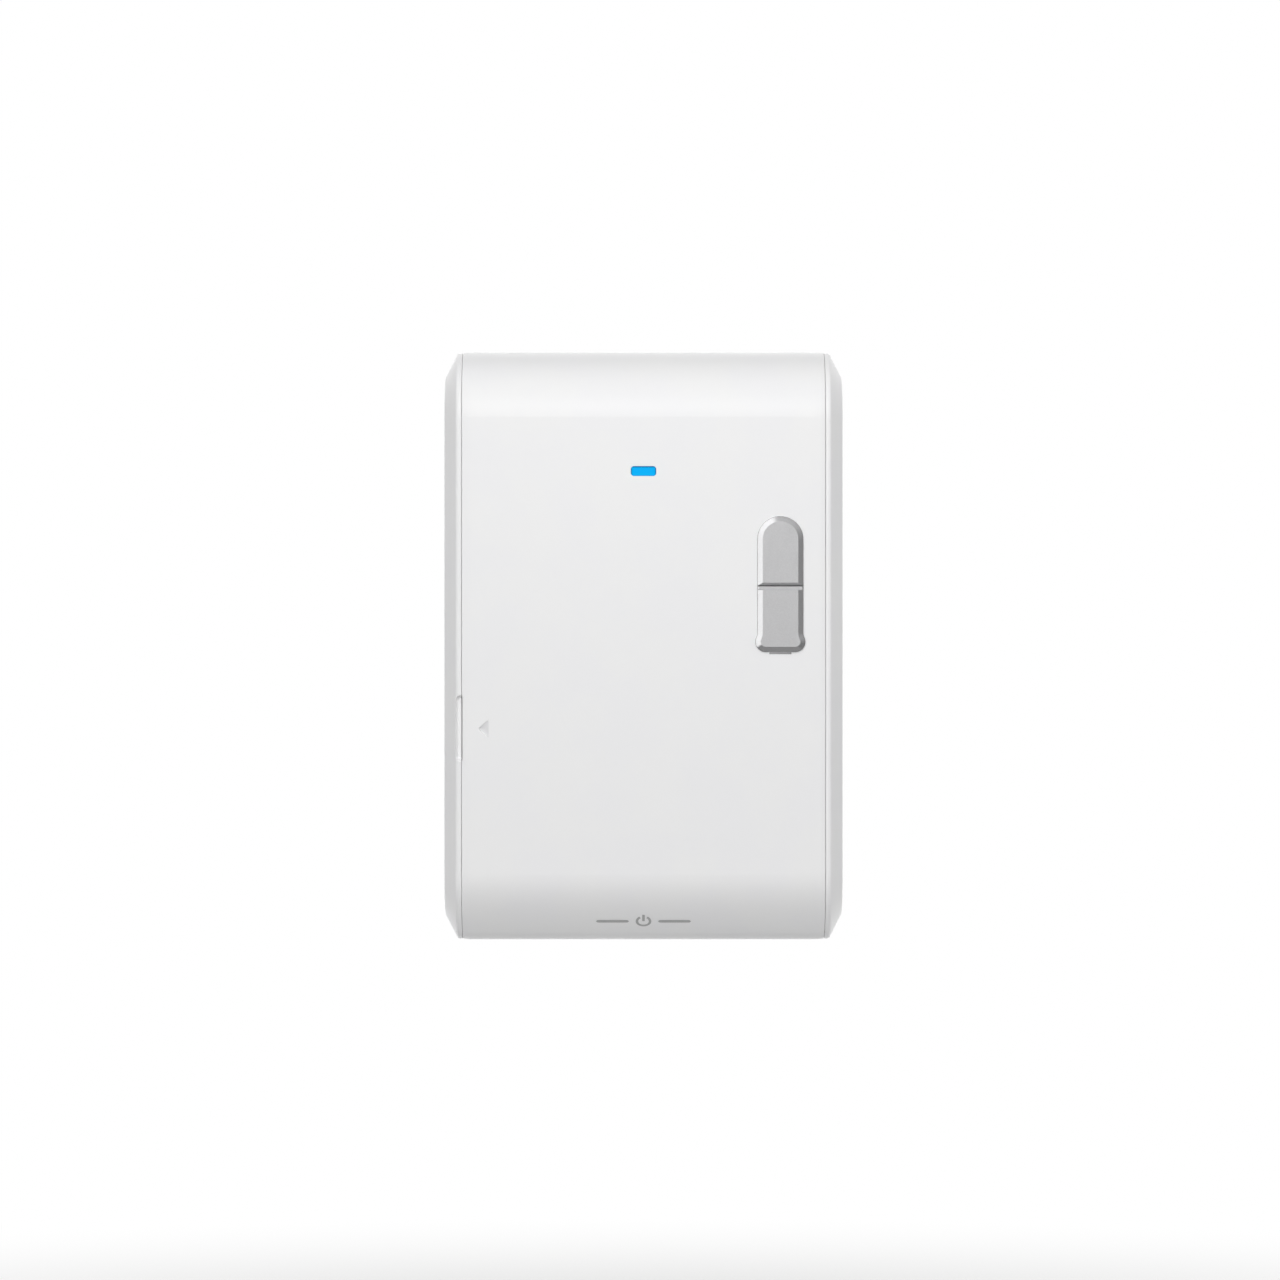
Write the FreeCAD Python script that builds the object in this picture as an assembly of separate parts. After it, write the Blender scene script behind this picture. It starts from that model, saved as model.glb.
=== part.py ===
"""Battery-powered wall-switch operator: a white box screwed over an ordinary toggle switch.

A small motor drives a spur gear train and a rack, and the rack's carriage pushes the wall switch's lever
up or down with a yoke. Two grey keys on the front do the same by hand, through switches on the circuit board.
The curved front cover lifts off to reach two AA cells and the two plate screws.

Frame, in millimetres: the origin is on the wall plane, midway between the two plate screws.
+X is right and +Z is up as seen from the room, and +Y points into the wall, so the front face is at -Y.
"""

import FreeCAD
import Part

import math
import os

# ---- casing ----
WIDTH = 83.0
HEIGHT = 123.0
DEPTH = 33.0  # wall plane to the cover's flat face
CORNER_RADIUS = 14.0  # round at the face's top and bottom, seen from the side
COVER_HALF_WIDTH = 37.75
COVER_WALL = 2.0
COVER_REACH = 12.0  # the cover's curved ends stop this far in front of the wall
COVER_PROUD = 0.15  # the cover's face stands this far in front of the side rails
COVER_ROLL_WIDTH = 1.0
COVER_ROLL_RADIUS = 9.0
SEAM = 0.06
SIDE_WALL = 2.0
RAIL_STRIP = 1.04  # flat strip of the rail beside the seam
BEVEL_DEPTH = 5.2
BEVEL_END_RADIUS = 2.0
EDGE_ROUND = 0.7
EAR_THICKNESS = 1.5
LEDGE_WIDTH = 1.55
LEDGE_THICKNESS = 1.4
RAIL_WALL_REACH = 12.5  # how deep the swept rail goes before the flat cheek takes over

# ---- levels inside, measured from the wall plane ----
REAR_COVER_THICKNESS = 2.0
REAR_BAY_DEPTH = 13.5
PAD_THICKNESS = 0.6
DECK_THICKNESS = 2.0

# ---- wall switch ----
PLATE_SCREW_SPACING = 60.3
PLATE_SCREW_HOLE_RADIUS = 2.1
PLATE_SCREW_HEAD_RADIUS = 3.8
PLATE_SCREW_HEAD_DEPTH = 1.0
PLATE_BOSS_RADIUS = 4.6
LEVER_OPENING_WIDTH = 24.0
LEVER_OPENING_HEIGHT = 48.0
LEVER_COLLAR = 0.8  # how far the opening's rim stands inside the rear cover
LEVER_SLOT_WIDTH = 11.0
LEVER_SLOT_HEIGHT = 8.4

# ---- keys ----
KEY_EDGE_INSET = 13.1  # key centre to the casing's right side
KEY_HALF_WIDTH = 4.73
KEY_SPLIT_Z = 12.45
KEY_SPLIT_GAP = 0.16
UPPER_KEY_HEIGHT = 14.45
KEY_FLARE_Z = 0.9
KEY_FLARE_RADIUS = 2.1
KEY_FLARE = 0.43  # how much wider each side gets at the foot
KEY_BEVEL = 1.05
KEY_SPLIT_BEVEL = 0.6
KEY_LEDGE = 0.85  # low step along the lower key's top, just below the split
KEY_LEDGE_DROP = 0.6  # how far the step lies below the key's face
KEY_CREASE = 0.16
KEY_BEVEL_HEIGHT = 0.75
KEY_STAND = 0.3  # straight skirt that shows below the bevel
KEY_GAP = 0.06
KEY_TRAVEL = 0.5
KEY_FLANGE = 0.9
KEY_FLANGE_THICKNESS = 0.8
FOOT_SLOT_WIDTH = 4.6
FOOT_SLOT_HEIGHT = 0.5
FOOT_SLOT_DEPTH = 2.6

# ---- status light ----
LIGHT_DROP = 25.2  # light centre below the casing's top
LIGHT_WIDTH = 5.2
LIGHT_HEIGHT = 2.0
LIGHT_CORNER = 0.6
LIGHT_RECESS = 0.12
LIGHT_GAP = 0.04

# ---- release mark and thumb scoop on the left ----
ARROW_X = -33.2
ARROW_Z = -17.1
ARROW_WIDTH = 2.1
ARROW_HEIGHT = 4.0
ARROW_DIP = 9.0  # the mark's floor leans down by this many degrees
ARROW_TILT = 5.0  # and towards the scoop by this many
SCOOP_DEPTH = 0.85
SCOOP_FLOOR = 0.75  # width of the scoop's flat floor beside the seam
SCOOP_SLOPE = 0.75  # sideways run of the scoop's outer wall for each millimetre it rises
SCOOP_LENGTH = 13.4
SCOOP_GAP = 0.2

# ---- circuit board ----
BOARD_THICKNESS = 1.6
BOARD_FRONT_DROP = 10.5  # board's component face behind the casing's face
BOARD_LEFT_X = -11.5
BOARD_RIGHT_INSET = 5.0
BOARD_BOTTOM_Z = -8.0
BOARD_TOP_DROP = 14.5
TACT_SIZE = 6.0
TACT_BODY_HEIGHT = 3.5
TACT_PLUNGER_RADIUS = 1.75
TACT_PLUNGER_HEIGHT = 0.8
LED_SIZE = (3.2, 1.6, 0.9)

# ---- cells ----
CELL_RADIUS = 7.25
CELL_LENGTH = 50.5
CELL_PITCH = 15.3
CELL_BOTTOM_GAP = 12.0  # lower cell's axis above the casing's bottom
CELL_DECK_GAP = 0.15
BAY_HALF_LENGTH = 29.2
BAY_WALL = 1.2
BAY_FOOT_WALL = 0.7
CONTACT_THICKNESS = 0.4
CONTACT_BUMP = 0.8
CONTACT_TAB = 2.0

# ---- drive ----
GEAR_MODULE = 0.5
WHEEL_TEETH = 36
PINION_TEETH = 10
RACK_MODULE = 1.0
RACK_PINION_TEETH = 10
PRESSURE_ANGLE = 25.0
BACKLASH = 0.1
GEAR_FACE = 2.0
GEAR_LAYER = 2.4  # from one layer of wheels to the next
GEAR_DECK_GAP = 0.4
AXLE_RADIUS = 1.0
AXLE_CLEARANCE = 0.05
OUTPUT_X = -29.0
GEAR_LEAN = 2.5  # sideways step from one axle of the train to the next
CARRIAGE_HALF_LENGTH = 13.0
ROD_RADIUS = 1.5
ROD_X = 20.3
ROD_DEPTH = 8.0
ROD_HALF_LENGTH = 27.5
ROD_CLEARANCE = 0.05
CARRIAGE_FRONT_GAP = 0.7
CARRIAGE_PLATE = 2.2
MOTOR_WIDTH = 12.0
MOTOR_HEIGHT = 10.0
MOTOR_LENGTH = 15.0
MOTOR_TAIL = 4.0  # motor's rear end in front of the wall plane

# ---- fasteners and fits ----
FIT = 0.02
FREE = 0.2
SCREW_RADIUS = 1.0
SCREW_HEAD_RADIUS = 1.9
SCREW_HEAD_HEIGHT = 1.2
POST_RADIUS = 2.4
PEG_RADIUS = 1.5
PEG_BOSS = 0.8  # how much thicker a peg is where it leaves the cover
PEG_INSET_Z = 9.5
LEAD_RADIUS = 0.55

# ---- levels and positions worked out from the above ----
half_width = WIDTH / 2
half_height = HEIGHT / 2
face_y = -DEPTH
rail_y = face_y + COVER_PROUD
cover_inner_y = face_y + COVER_WALL
corner_y = face_y + CORNER_RADIUS
corner_z = half_height - CORNER_RADIUS
seam_x = COVER_HALF_WIDTH + WIDTH / 2 - 41.5
rail_x = seam_x + SEAM
deck_back_y = -REAR_BAY_DEPTH
deck_front_y = deck_back_y - DECK_THICKNESS
rear_cover_y = -REAR_COVER_THICKNESS
inner_x = half_width - SIDE_WALL
inner_z = half_height - COVER_WALL
plate_screw_z = PLATE_SCREW_SPACING / 2
board_front_y = face_y + BOARD_FRONT_DROP
board_back_y = board_front_y + BOARD_THICKNESS
board_right_x = half_width - BOARD_RIGHT_INSET
board_top_z = half_height - BOARD_TOP_DROP
light_z = half_height - LIGHT_DROP
key_x = half_width - KEY_EDGE_INSET
key_top_z = KEY_SPLIT_Z + UPPER_KEY_HEIGHT
key_bottom_z = KEY_FLARE_Z - KEY_FLARE_RADIUS
key_flange_front_y = cover_inner_y + FREE
key_flange_back_y = key_flange_front_y + KEY_FLANGE_THICKNESS
guide_front_y = key_flange_back_y + KEY_TRAVEL + FREE
tact_top_y = board_front_y - TACT_BODY_HEIGHT
plunger_top_y = tact_top_y - TACT_PLUNGER_HEIGHT
lower_cell_z = -half_height + CELL_BOTTOM_GAP
upper_cell_z = lower_cell_z + CELL_PITCH
cell_y = deck_front_y - CELL_DECK_GAP - CELL_RADIUS
bay_top_z = upper_cell_z + CELL_RADIUS + FREE
bay_bottom_z = lower_cell_z - CELL_RADIUS - FREE
cell_positive_x = BAY_HALF_LENGTH - CONTACT_THICKNESS - CONTACT_BUMP
cell_negative_x = cell_positive_x - CELL_LENGTH
tab_y = deck_front_y - 5.0
positive_tab_z = lower_cell_z + 3.5
negative_tab_z = upper_cell_z
wheel_pitch = GEAR_MODULE * WHEEL_TEETH / 2
pinion_pitch = GEAR_MODULE * PINION_TEETH / 2
centre_distance = wheel_pitch + pinion_pitch
gear_rise = math.sqrt(centre_distance ** 2 - GEAR_LEAN ** 2)
rack_pitch_radius = RACK_MODULE * RACK_PINION_TEETH / 2
rack_x = OUTPUT_X + rack_pitch_radius
output_axle = (OUTPUT_X, 0.0)
second_axle = (OUTPUT_X + GEAR_LEAN, gear_rise)
first_axle = (OUTPUT_X, 2 * gear_rise)
motor_axle = (OUTPUT_X - GEAR_LEAN, 3 * gear_rise)
layer_y = [deck_front_y - GEAR_DECK_GAP - GEAR_LAYER * i for i in range(3)]
gearbox_back_y = layer_y[2] - GEAR_FACE - 1.3
gearbox_front_y = gearbox_back_y - 1.4
carriage_front_y = deck_back_y + CARRIAGE_FRONT_GAP
carriage_back_y = carriage_front_y + CARRIAGE_PLATE
yoke_end_y = rear_cover_y - LEVER_COLLAR - 0.8
motor_front_y = -MOTOR_TAIL - MOTOR_LENGTH
motor_lead_z = motor_axle[1] + MOTOR_HEIGHT / 2 + 7.0  # where the motor's leads pass the deck
motor_header_z = motor_axle[1] - 0.2
battery_header_z = 4.5
plug_left_x = BOARD_LEFT_X + 0.4
plug_y = board_front_y - 4.3

rear_screw_spots = [(sx * (inner_x - 5.5), sz * (inner_z - 6.5)) for sx in (-1, 1) for sz in (-1, 1)]
peg_x = rail_x - LEDGE_WIDTH - FREE - 0.15 - PEG_RADIUS - PEG_BOSS
peg_spots = [(sx * peg_x, sz * (half_height - PEG_INSET_Z)) for sx in (-1, 1) for sz in (-1, 1)]
frame_screw_spots = [(side * (BAY_HALF_LENGTH - 2.6), bay_top_z + BAY_WALL + 2.0) for side in (-1, 1)]
chassis_screw_spots = [(inner_x - 2.9, 40.0), (inner_x - 2.9, -38.0), (-inner_x + 2.9, motor_axle[1] + 7.6),
                       (-inner_x + 2.9, -20.0)]
motor_bracket_spots = [(motor_axle[0] + side * 4.0, motor_axle[1] + side * (MOTOR_HEIGHT / 2 + 2.2))
                       for side in (-1, 1)]
gearbox_screw_spots = [(OUTPUT_X - 7.6, -10.2), (OUTPUT_X + 12.5, -6.5), (OUTPUT_X + 14.0, first_axle[1])]
board_screw_spots = [(BOARD_LEFT_X + 2.8, BOARD_BOTTOM_Z + 2.8), (BOARD_LEFT_X + 2.8, board_top_z - 2.8),
                     (board_right_x - 2.8, board_top_z - 2.8), (key_x - 9.9, BOARD_BOTTOM_Z + 2.8)]
guide_top_z = key_top_z + KEY_FLANGE + SCREW_HEAD_RADIUS + 0.4
guide_bottom_z = key_bottom_z - KEY_FLANGE - SCREW_HEAD_RADIUS - 0.4
guide_screw_spots = [(key_x - 5.2, guide_top_z), (key_x + 5.2, guide_bottom_z)]
guide_leg_spots = [(key_x + 5.2, guide_top_z), (key_x - 5.2, guide_bottom_z)]
tact_spots = {"upper": (key_x, (KEY_SPLIT_Z + key_top_z) / 2), "lower": (key_x, (KEY_SPLIT_Z + key_bottom_z) / 2)}


# ---- geometry helpers ----

def vec(x, y, z):
    return FreeCAD.Vector(x, y, z)


def box(x0, x1, y0, y1, z0, z1):
    """Block between two values on each axis, given in either order."""
    low = vec(min(x0, x1), min(y0, y1), min(z0, z1))
    return Part.makeBox(abs(x1 - x0), abs(y1 - y0), abs(z1 - z0), low)


def rod_y(spot, radius, y0, y1):
    """Round bar along Y, centred at spot (x, z)."""
    return Part.makeCylinder(radius, abs(y1 - y0), vec(spot[0], min(y0, y1), spot[1]), vec(0, 1, 0))


def rod_x(y, z, radius, x0, x1):
    return Part.makeCylinder(radius, abs(x1 - x0), vec(min(x0, x1), y, z), vec(1, 0, 0))


def rod_z(x, y, radius, z0, z1):
    return Part.makeCylinder(radius, abs(z1 - z0), vec(x, y, min(z0, z1)), vec(0, 0, 1))


def join(*shapes):
    """One solid, or one compound, from shapes that touch or overlap."""
    return shapes[0].fuse(list(shapes[1:])).removeSplitter()


def rounded_wire(corners, place):
    """Closed wire with straight sides. A corner is (a, b) or (a, b, radius), and place puts (a, b) in space."""
    starts, ends, arcs = [], [], []
    count = len(corners)
    for i, corner in enumerate(corners):
        a, b = corner[:2]
        radius = corner[2] if len(corner) > 2 else 0.0
        before, after = corners[i - 1], corners[(i + 1) % count]
        u = (before[0] - a, before[1] - b)
        w = (after[0] - a, after[1] - b)
        u_length, w_length = math.hypot(*u), math.hypot(*w)
        u = (u[0] / u_length, u[1] / u_length)
        w = (w[0] / w_length, w[1] / w_length)
        if not radius:
            starts.append((a, b))
            ends.append((a, b))
            arcs.append(None)
            continue
        half = math.acos(max(-1.0, min(1.0, u[0] * w[0] + u[1] * w[1]))) / 2
        reach = radius / math.tan(half)
        bisector = (u[0] + w[0], u[1] + w[1])
        length = math.hypot(*bisector)
        to_middle = radius / math.sin(half) - radius
        starts.append((a + u[0] * reach, b + u[1] * reach))
        ends.append((a + w[0] * reach, b + w[1] * reach))
        arcs.append((a + bisector[0] / length * to_middle, b + bisector[1] / length * to_middle))
    edges = []
    for i in range(count):
        if arcs[i]:
            edges.append(Part.Arc(place(*starts[i]), place(*arcs[i]), place(*ends[i])).toShape())
        here, there = place(*ends[i]), place(*starts[(i + 1) % count])
        if here.distanceToPoint(there) > 1e-6:
            edges.append(Part.makeLine(here, there))
    return Part.Wire(edges)


def plate_y(corners, y0, y1):
    """Flat plate of an outline in (x, z), from y0 to y1."""
    face = Part.Face(rounded_wire(corners, lambda a, b: vec(a, y0, b)))
    return face.extrude(vec(0, y1 - y0, 0))


def rectangle(x0, x1, z0, z1, radius=0.0):
    return [(x0, z0, radius), (x1, z0, radius), (x1, z1, radius), (x0, z1, radius)]


def arc_xz(centre, radius, start, end, y):
    """Arc in a plane of constant y, from one angle to another in degrees, counted from +X towards +Z."""
    points = []
    for angle in (start, (start + end) / 2, end):
        turn = math.radians(angle)
        points.append(vec(centre[0] + radius * math.cos(turn), y, centre[1] + radius * math.sin(turn)))
    return Part.Arc(*points).toShape()


def wire_of(edges):
    """Closed wire of edges given in order, with straight lines across the gaps."""
    chain = []
    for i, edge in enumerate(edges):
        chain.append(edge)
        here = edge.lastVertex(True).Point if edge.Orientation == "Forward" else edge.firstVertex(True).Point
        following = edges[(i + 1) % len(edges)]
        there = following.firstVertex(True).Point
        if here.distanceToPoint(there) > 1e-6:
            chain.append(Part.makeLine(here, there))
    return Part.Wire(chain)


def carry_round_casing(corners, end_y):
    """Carries a section (x, depth below the casing's surface) up the face, round both ends and back to end_y."""
    place = lambda x, n: vec(x, face_y + n, -corner_z)
    section = Part.Face(rounded_wire(corners, place))
    pieces = [section.extrude(vec(0, 0, 2 * corner_z))]
    for side in (1, -1):
        end = section.copy()
        end.translate(vec(0, 0, corner_z + side * corner_z))
        axis = vec(0, corner_y, side * corner_z)
        pieces.append(end.revolve(axis, vec(1, 0, 0), -90 * side))
        tip = end.copy()
        tip.rotate(axis, vec(1, 0, 0), -90 * side)
        pieces.append(tip.extrude(vec(0, end_y - corner_y, 0)))
    return join(*pieces)


def screw(spot, head_y, tip_y, direction=1):
    """Pan-head screw along Y. Its head sits on head_y, on the room side if direction is 1."""
    head_end = head_y - direction * SCREW_HEAD_HEIGHT
    shank = rod_y(spot, SCREW_RADIUS, head_y, tip_y)
    head = rod_y(spot, SCREW_HEAD_RADIUS, head_y, head_end)
    rim = [e for e in head.Edges if abs(e.CenterOfMass.y - head_end) < 1e-6 and e.Length > 6]
    head = head.makeFillet(SCREW_HEAD_HEIGHT * 0.45, rim)
    slot_end = head_end + direction * SCREW_HEAD_HEIGHT * 0.6
    cross = [box(spot[0] - 1.0, spot[0] + 1.0, head_end, slot_end, spot[1] - 0.2, spot[1] + 0.2),
             box(spot[0] - 0.2, spot[0] + 0.2, head_end, slot_end, spot[1] - 1.0, spot[1] + 1.0)]
    return join(shank, head).cut(cross)


def lead(points, radius=LEAD_RADIUS):
    """Insulated wire along straight runs joined by tangent arcs, each as large as its two runs allow."""
    points = [vec(*p) for p in points]
    edges, here = [], points[0]
    for before, at, after in zip(points, points[1:], points[2:]):
        u, w = (before - at), (after - at)
        shorter = min(u.Length, w.Length)
        u.normalize()
        w.normalize()
        half = math.acos(max(-1.0, min(1.0, u.dot(w)))) / 2
        reach = 0.45 * shorter
        bend = reach * math.tan(half)
        start, end = at + u * reach, at + w * reach
        middle = u + w
        middle.normalize()
        edges.append(Part.makeLine(here, start))
        edges.append(Part.Arc(start, at + middle * (bend / math.sin(half) - bend), end).toShape())
        here = end
    edges.append(Part.makeLine(here, points[-1]))
    path = Part.Wire(edges)
    first = points[1] - points[0]
    profile = Part.Wire(Part.makeCircle(radius, points[0], first))
    return path.makePipe(Part.Face(profile))


# ---- gears ----

def involute_half_angle(radius, base, pitch, half_tooth):
    """Half the angle of a tooth at a radius, from its half angle at the pitch circle."""
    def spread(r):
        if r <= base:
            return 0.0
        turn = math.acos(base / r)
        return math.tan(turn) - turn
    return half_tooth + spread(pitch) - spread(max(radius, base))


def gear_blank(teeth, module, centre, phase, y0, y1):
    """Spur gear of stub teeth. phase is the angle of one tooth's centre, from +X towards +Z, in radians."""
    pitch = teeth * module / 2
    base = pitch * math.cos(math.radians(PRESSURE_ANGLE))
    tip, root = pitch + 0.85 * module, pitch - 1.1 * module
    half_tooth = (math.pi * module / 2 - BACKLASH) / 2 / pitch
    low = max(root, base)
    levels = (low, (low + tip) / 2, tip)
    edges = []

    def point(radius, angle):
        return vec(centre[0] + radius * math.cos(angle), y0, centre[1] + radius * math.sin(angle))

    for i in range(teeth):
        middle = phase + 2 * math.pi * i / teeth
        angles = [involute_half_angle(r, base, pitch, half_tooth) for r in levels]
        rising = [point(r, middle - a) for r, a in zip(levels, angles)]
        falling = [point(r, middle + a) for r, a in zip(levels, angles)][::-1]
        next_angle = middle + 2 * math.pi / teeth - angles[0]
        root_start, root_end = point(root, middle + angles[0]), point(root, next_angle)
        edges.append(Part.Arc(*rising).toShape())
        edges.append(Part.makeLine(rising[2], falling[0]))
        edges.append(Part.Arc(*falling).toShape())
        if base > root:
            edges.append(Part.makeLine(falling[2], root_start))
        edges.append(Part.makeLine(root_start, root_end))
        if base > root:
            edges.append(Part.makeLine(root_end, point(low, next_angle)))
    return Part.Face(Part.Wire(edges)).extrude(vec(0, y1 - y0, 0))


def direction(here, there):
    return math.atan2(there[1] - here[1], there[0] - here[0])


def tooth_on(here, there):
    """Phase that puts a tooth of the wheel at here on the line to there."""
    return direction(here, there)


def space_on(here, there, teeth):
    """Phase that puts a gap between teeth of the wheel at here on the line to there."""
    return direction(here, there) + math.pi / teeth


def bored(shape, spot, radius=AXLE_RADIUS + AXLE_CLEARANCE):
    return shape.cut(rod_y(spot, radius, 1.0, face_y))


def output_gear():
    """Wheel in front of the deck, a hub that runs in the deck, and the rack's pinion behind it."""
    spot = output_axle
    wheel = gear_blank(WHEEL_TEETH, GEAR_MODULE, spot, space_on(spot, second_axle, WHEEL_TEETH),
                       layer_y[0], layer_y[0] - GEAR_FACE)
    hub = rod_y(spot, rack_pitch_radius + 1.2, layer_y[0], deck_back_y + 0.3)
    pinion = gear_blank(RACK_PINION_TEETH, RACK_MODULE, spot, 0.0, deck_back_y + 0.3, -6.4)
    spacer = rod_y(spot, 1.7, layer_y[0] - GEAR_FACE, gearbox_back_y + FREE)
    rear_spacer = rod_y(spot, 2.4, -6.4, rear_cover_y - 3.5 - FREE)
    return bored(join(wheel, hub, pinion, spacer, rear_spacer), spot)


def second_gear():
    spot = second_axle
    pinion = gear_blank(PINION_TEETH, GEAR_MODULE, spot, tooth_on(spot, output_axle), layer_y[0] + 0.1,
                        layer_y[1])
    wheel = gear_blank(WHEEL_TEETH, GEAR_MODULE, spot, space_on(spot, first_axle, WHEEL_TEETH),
                       layer_y[1], layer_y[1] - GEAR_FACE)
    spacer = rod_y(spot, 1.7, layer_y[1] - GEAR_FACE, gearbox_back_y + FREE)
    return bored(join(pinion, wheel, spacer), spot)


def first_gear():
    spot = first_axle
    pinion = gear_blank(PINION_TEETH, GEAR_MODULE, spot, tooth_on(spot, second_axle), layer_y[1] + 0.1,
                        layer_y[2])
    wheel = gear_blank(WHEEL_TEETH, GEAR_MODULE, spot, space_on(spot, motor_axle, WHEEL_TEETH),
                       layer_y[2], layer_y[2] - GEAR_FACE)
    spacer = rod_y(spot, 1.7, layer_y[2] - GEAR_FACE, gearbox_back_y + FREE)
    return bored(join(pinion, wheel, spacer), spot)


def gear_pins():
    """Steel axles: the output's runs from the rear cover to the gearbox cover, the others start in the deck."""
    end = gearbox_front_y + 0.2
    return Part.makeCompound([rod_y(output_axle, AXLE_RADIUS, rear_cover_y, end),
                              rod_y(second_axle, AXLE_RADIUS, deck_back_y, end),
                              rod_y(first_axle, AXLE_RADIUS, deck_back_y, end)])


def gearbox_cover():
    """Flat plate in front of the gears, on three posts of the deck."""
    left, right = -inner_x + 0.6, BOARD_LEFT_X - 1.0
    bottom, top = -13.2, motor_axle[1] + 4.8
    plate = plate_y(rectangle(left, right, bottom, top, 3.0), gearbox_back_y, gearbox_front_y)
    rib = plate_y(rectangle(left + 1.2, right - 1.2, bottom + 1.2, top - 1.2, 2.0), gearbox_front_y,
                  gearbox_front_y - 0.6)
    rib = rib.cut(plate_y(rectangle(left + 2.2, right - 2.2, bottom + 2.2, top - 2.2, 1.2), gearbox_front_y,
                          gearbox_front_y - 0.6))
    cover = join(plate, rib)
    for spot in gearbox_screw_spots:
        cover = join(cover, rod_y(spot, POST_RADIUS, gearbox_front_y, gearbox_front_y - 0.6))
        cover = cover.cut(rod_y(spot, SCREW_RADIUS + FREE, gearbox_back_y, gearbox_front_y - 1.0))
    for spot in (output_axle, second_axle, first_axle):
        cover = cover.cut(rod_y(spot, AXLE_RADIUS + FIT, gearbox_back_y, gearbox_front_y))
    return cover


# ---- casing ----

def rail_section():
    """The right rail's section: strip beside the seam, bevel, side wall and the ledge under the cover."""
    strip_end = rail_x + RAIL_STRIP
    return [(rail_x, COVER_PROUD, 0.12), (strip_end, COVER_PROUD, EDGE_ROUND),
            (half_width, COVER_PROUD + BEVEL_DEPTH, BEVEL_END_RADIUS), (half_width, RAIL_WALL_REACH),
            (inner_x, RAIL_WALL_REACH), (inner_x, COVER_WALL + SEAM + LEDGE_THICKNESS),
            (rail_x - LEDGE_WIDTH, COVER_WALL + SEAM + LEDGE_THICKNESS), (rail_x - LEDGE_WIDTH, COVER_WALL + SEAM),
            (rail_x, COVER_WALL + SEAM)]


def cheek():
    """Right side of the housing: the rail carried round the profile, and the flat wall that it borders."""
    rail = carry_round_casing(rail_section(), 0.0)
    overlap = 0.5
    flat_z = half_height - RAIL_WALL_REACH + overlap
    wall = box(inner_x, half_width, face_y + RAIL_WALL_REACH - overlap, 0.0, -flat_z, flat_z)
    return join(rail, wall)


def end_wall(side):
    """Top (side 1) or bottom (side -1) wall behind the cover, with the lip that the cover laps."""
    section = [(-rail_x - 0.3, COVER_PROUD), (-rail_x, COVER_PROUD), (-rail_x + COVER_ROLL_WIDTH, 0.0,
               COVER_ROLL_RADIUS), (rail_x - COVER_ROLL_WIDTH, 0.0, COVER_ROLL_RADIUS), (rail_x, COVER_PROUD),
               (rail_x + 0.3, COVER_PROUD), (rail_x + 0.3, COVER_WALL), (-rail_x - 0.3, COVER_WALL)]
    place = lambda x, n: vec(x, -COVER_REACH + SEAM, side * (half_height - n))
    wall = Part.Face(rounded_wire(section, place)).extrude(vec(0, COVER_REACH - SEAM, 0))
    lip_top = half_height - COVER_WALL - SEAM
    lip = box(-inner_x, inner_x, deck_front_y - 1.0, -8.0, side * lip_top, side * (lip_top - LEDGE_THICKNESS))
    root = box(-inner_x, inner_x, -COVER_REACH + SEAM, -8.0, side * (inner_z + 0.2), side * (lip_top - 0.2))
    return join(wall, lip, root)


def battery_frame():
    """Bottomless frame, screwed to the deck by two ears, that holds the cells and their contacts."""
    front = cell_y - CELL_RADIUS * 0.55
    outer = BAY_HALF_LENGTH + BAY_WALL
    outline = [(deck_front_y, bay_bottom_z), (cell_y - 0.5, bay_bottom_z), (front, lower_cell_z - 3.0),
               (front, bay_top_z), (deck_front_y, bay_top_z)]
    walls = [box(-outer, outer, deck_front_y, front, bay_top_z, bay_top_z + BAY_WALL),
             box(-outer, outer, deck_front_y, deck_front_y - 6.5, bay_bottom_z, bay_bottom_z - BAY_FOOT_WALL)]
    for side in (-1, 1):
        end = Part.Face(rounded_wire(outline, lambda a, b, x=side * BAY_HALF_LENGTH: vec(x, a, b)))
        walls.append(end.extrude(vec(side * BAY_WALL, 0, 0)))
    for x, z in frame_screw_spots:
        walls.append(rod_y((x, z), 2.4, deck_front_y, deck_front_y - EAR_THICKNESS))
        walls.append(box(x - 2.4, x + 2.4, deck_front_y, deck_front_y - EAR_THICKNESS, z, bay_top_z + 0.2))
    cuts = [box(-BAY_HALF_LENGTH + 1, -outer - 1, tab_y + 0.15, tab_y - CONTACT_THICKNESS - 0.15,
                z - CONTACT_TAB / 2 - 0.15, z + CONTACT_TAB / 2 + 0.15) for z in (positive_tab_z, negative_tab_z)]
    cuts += [rod_y(spot, SCREW_RADIUS + FREE, deck_front_y + 1, deck_front_y - 3) for spot in frame_screw_spots]
    return join(*walls).cut(cuts)


def saddle(side):
    """Ridge on the deck that keeps the two cells apart."""
    x, middle = side * (BAY_HALF_LENGTH - 14.0), (upper_cell_z + lower_cell_z) / 2
    corners = [(deck_front_y + 0.1, middle - 2.6), (deck_front_y - 3.6, middle), (deck_front_y + 0.1, middle + 2.6)]
    face = Part.Face(rounded_wire(corners, lambda a, b: vec(x, a, b)))
    return face.extrude(vec(side * 1.2, 0, 0))


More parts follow.
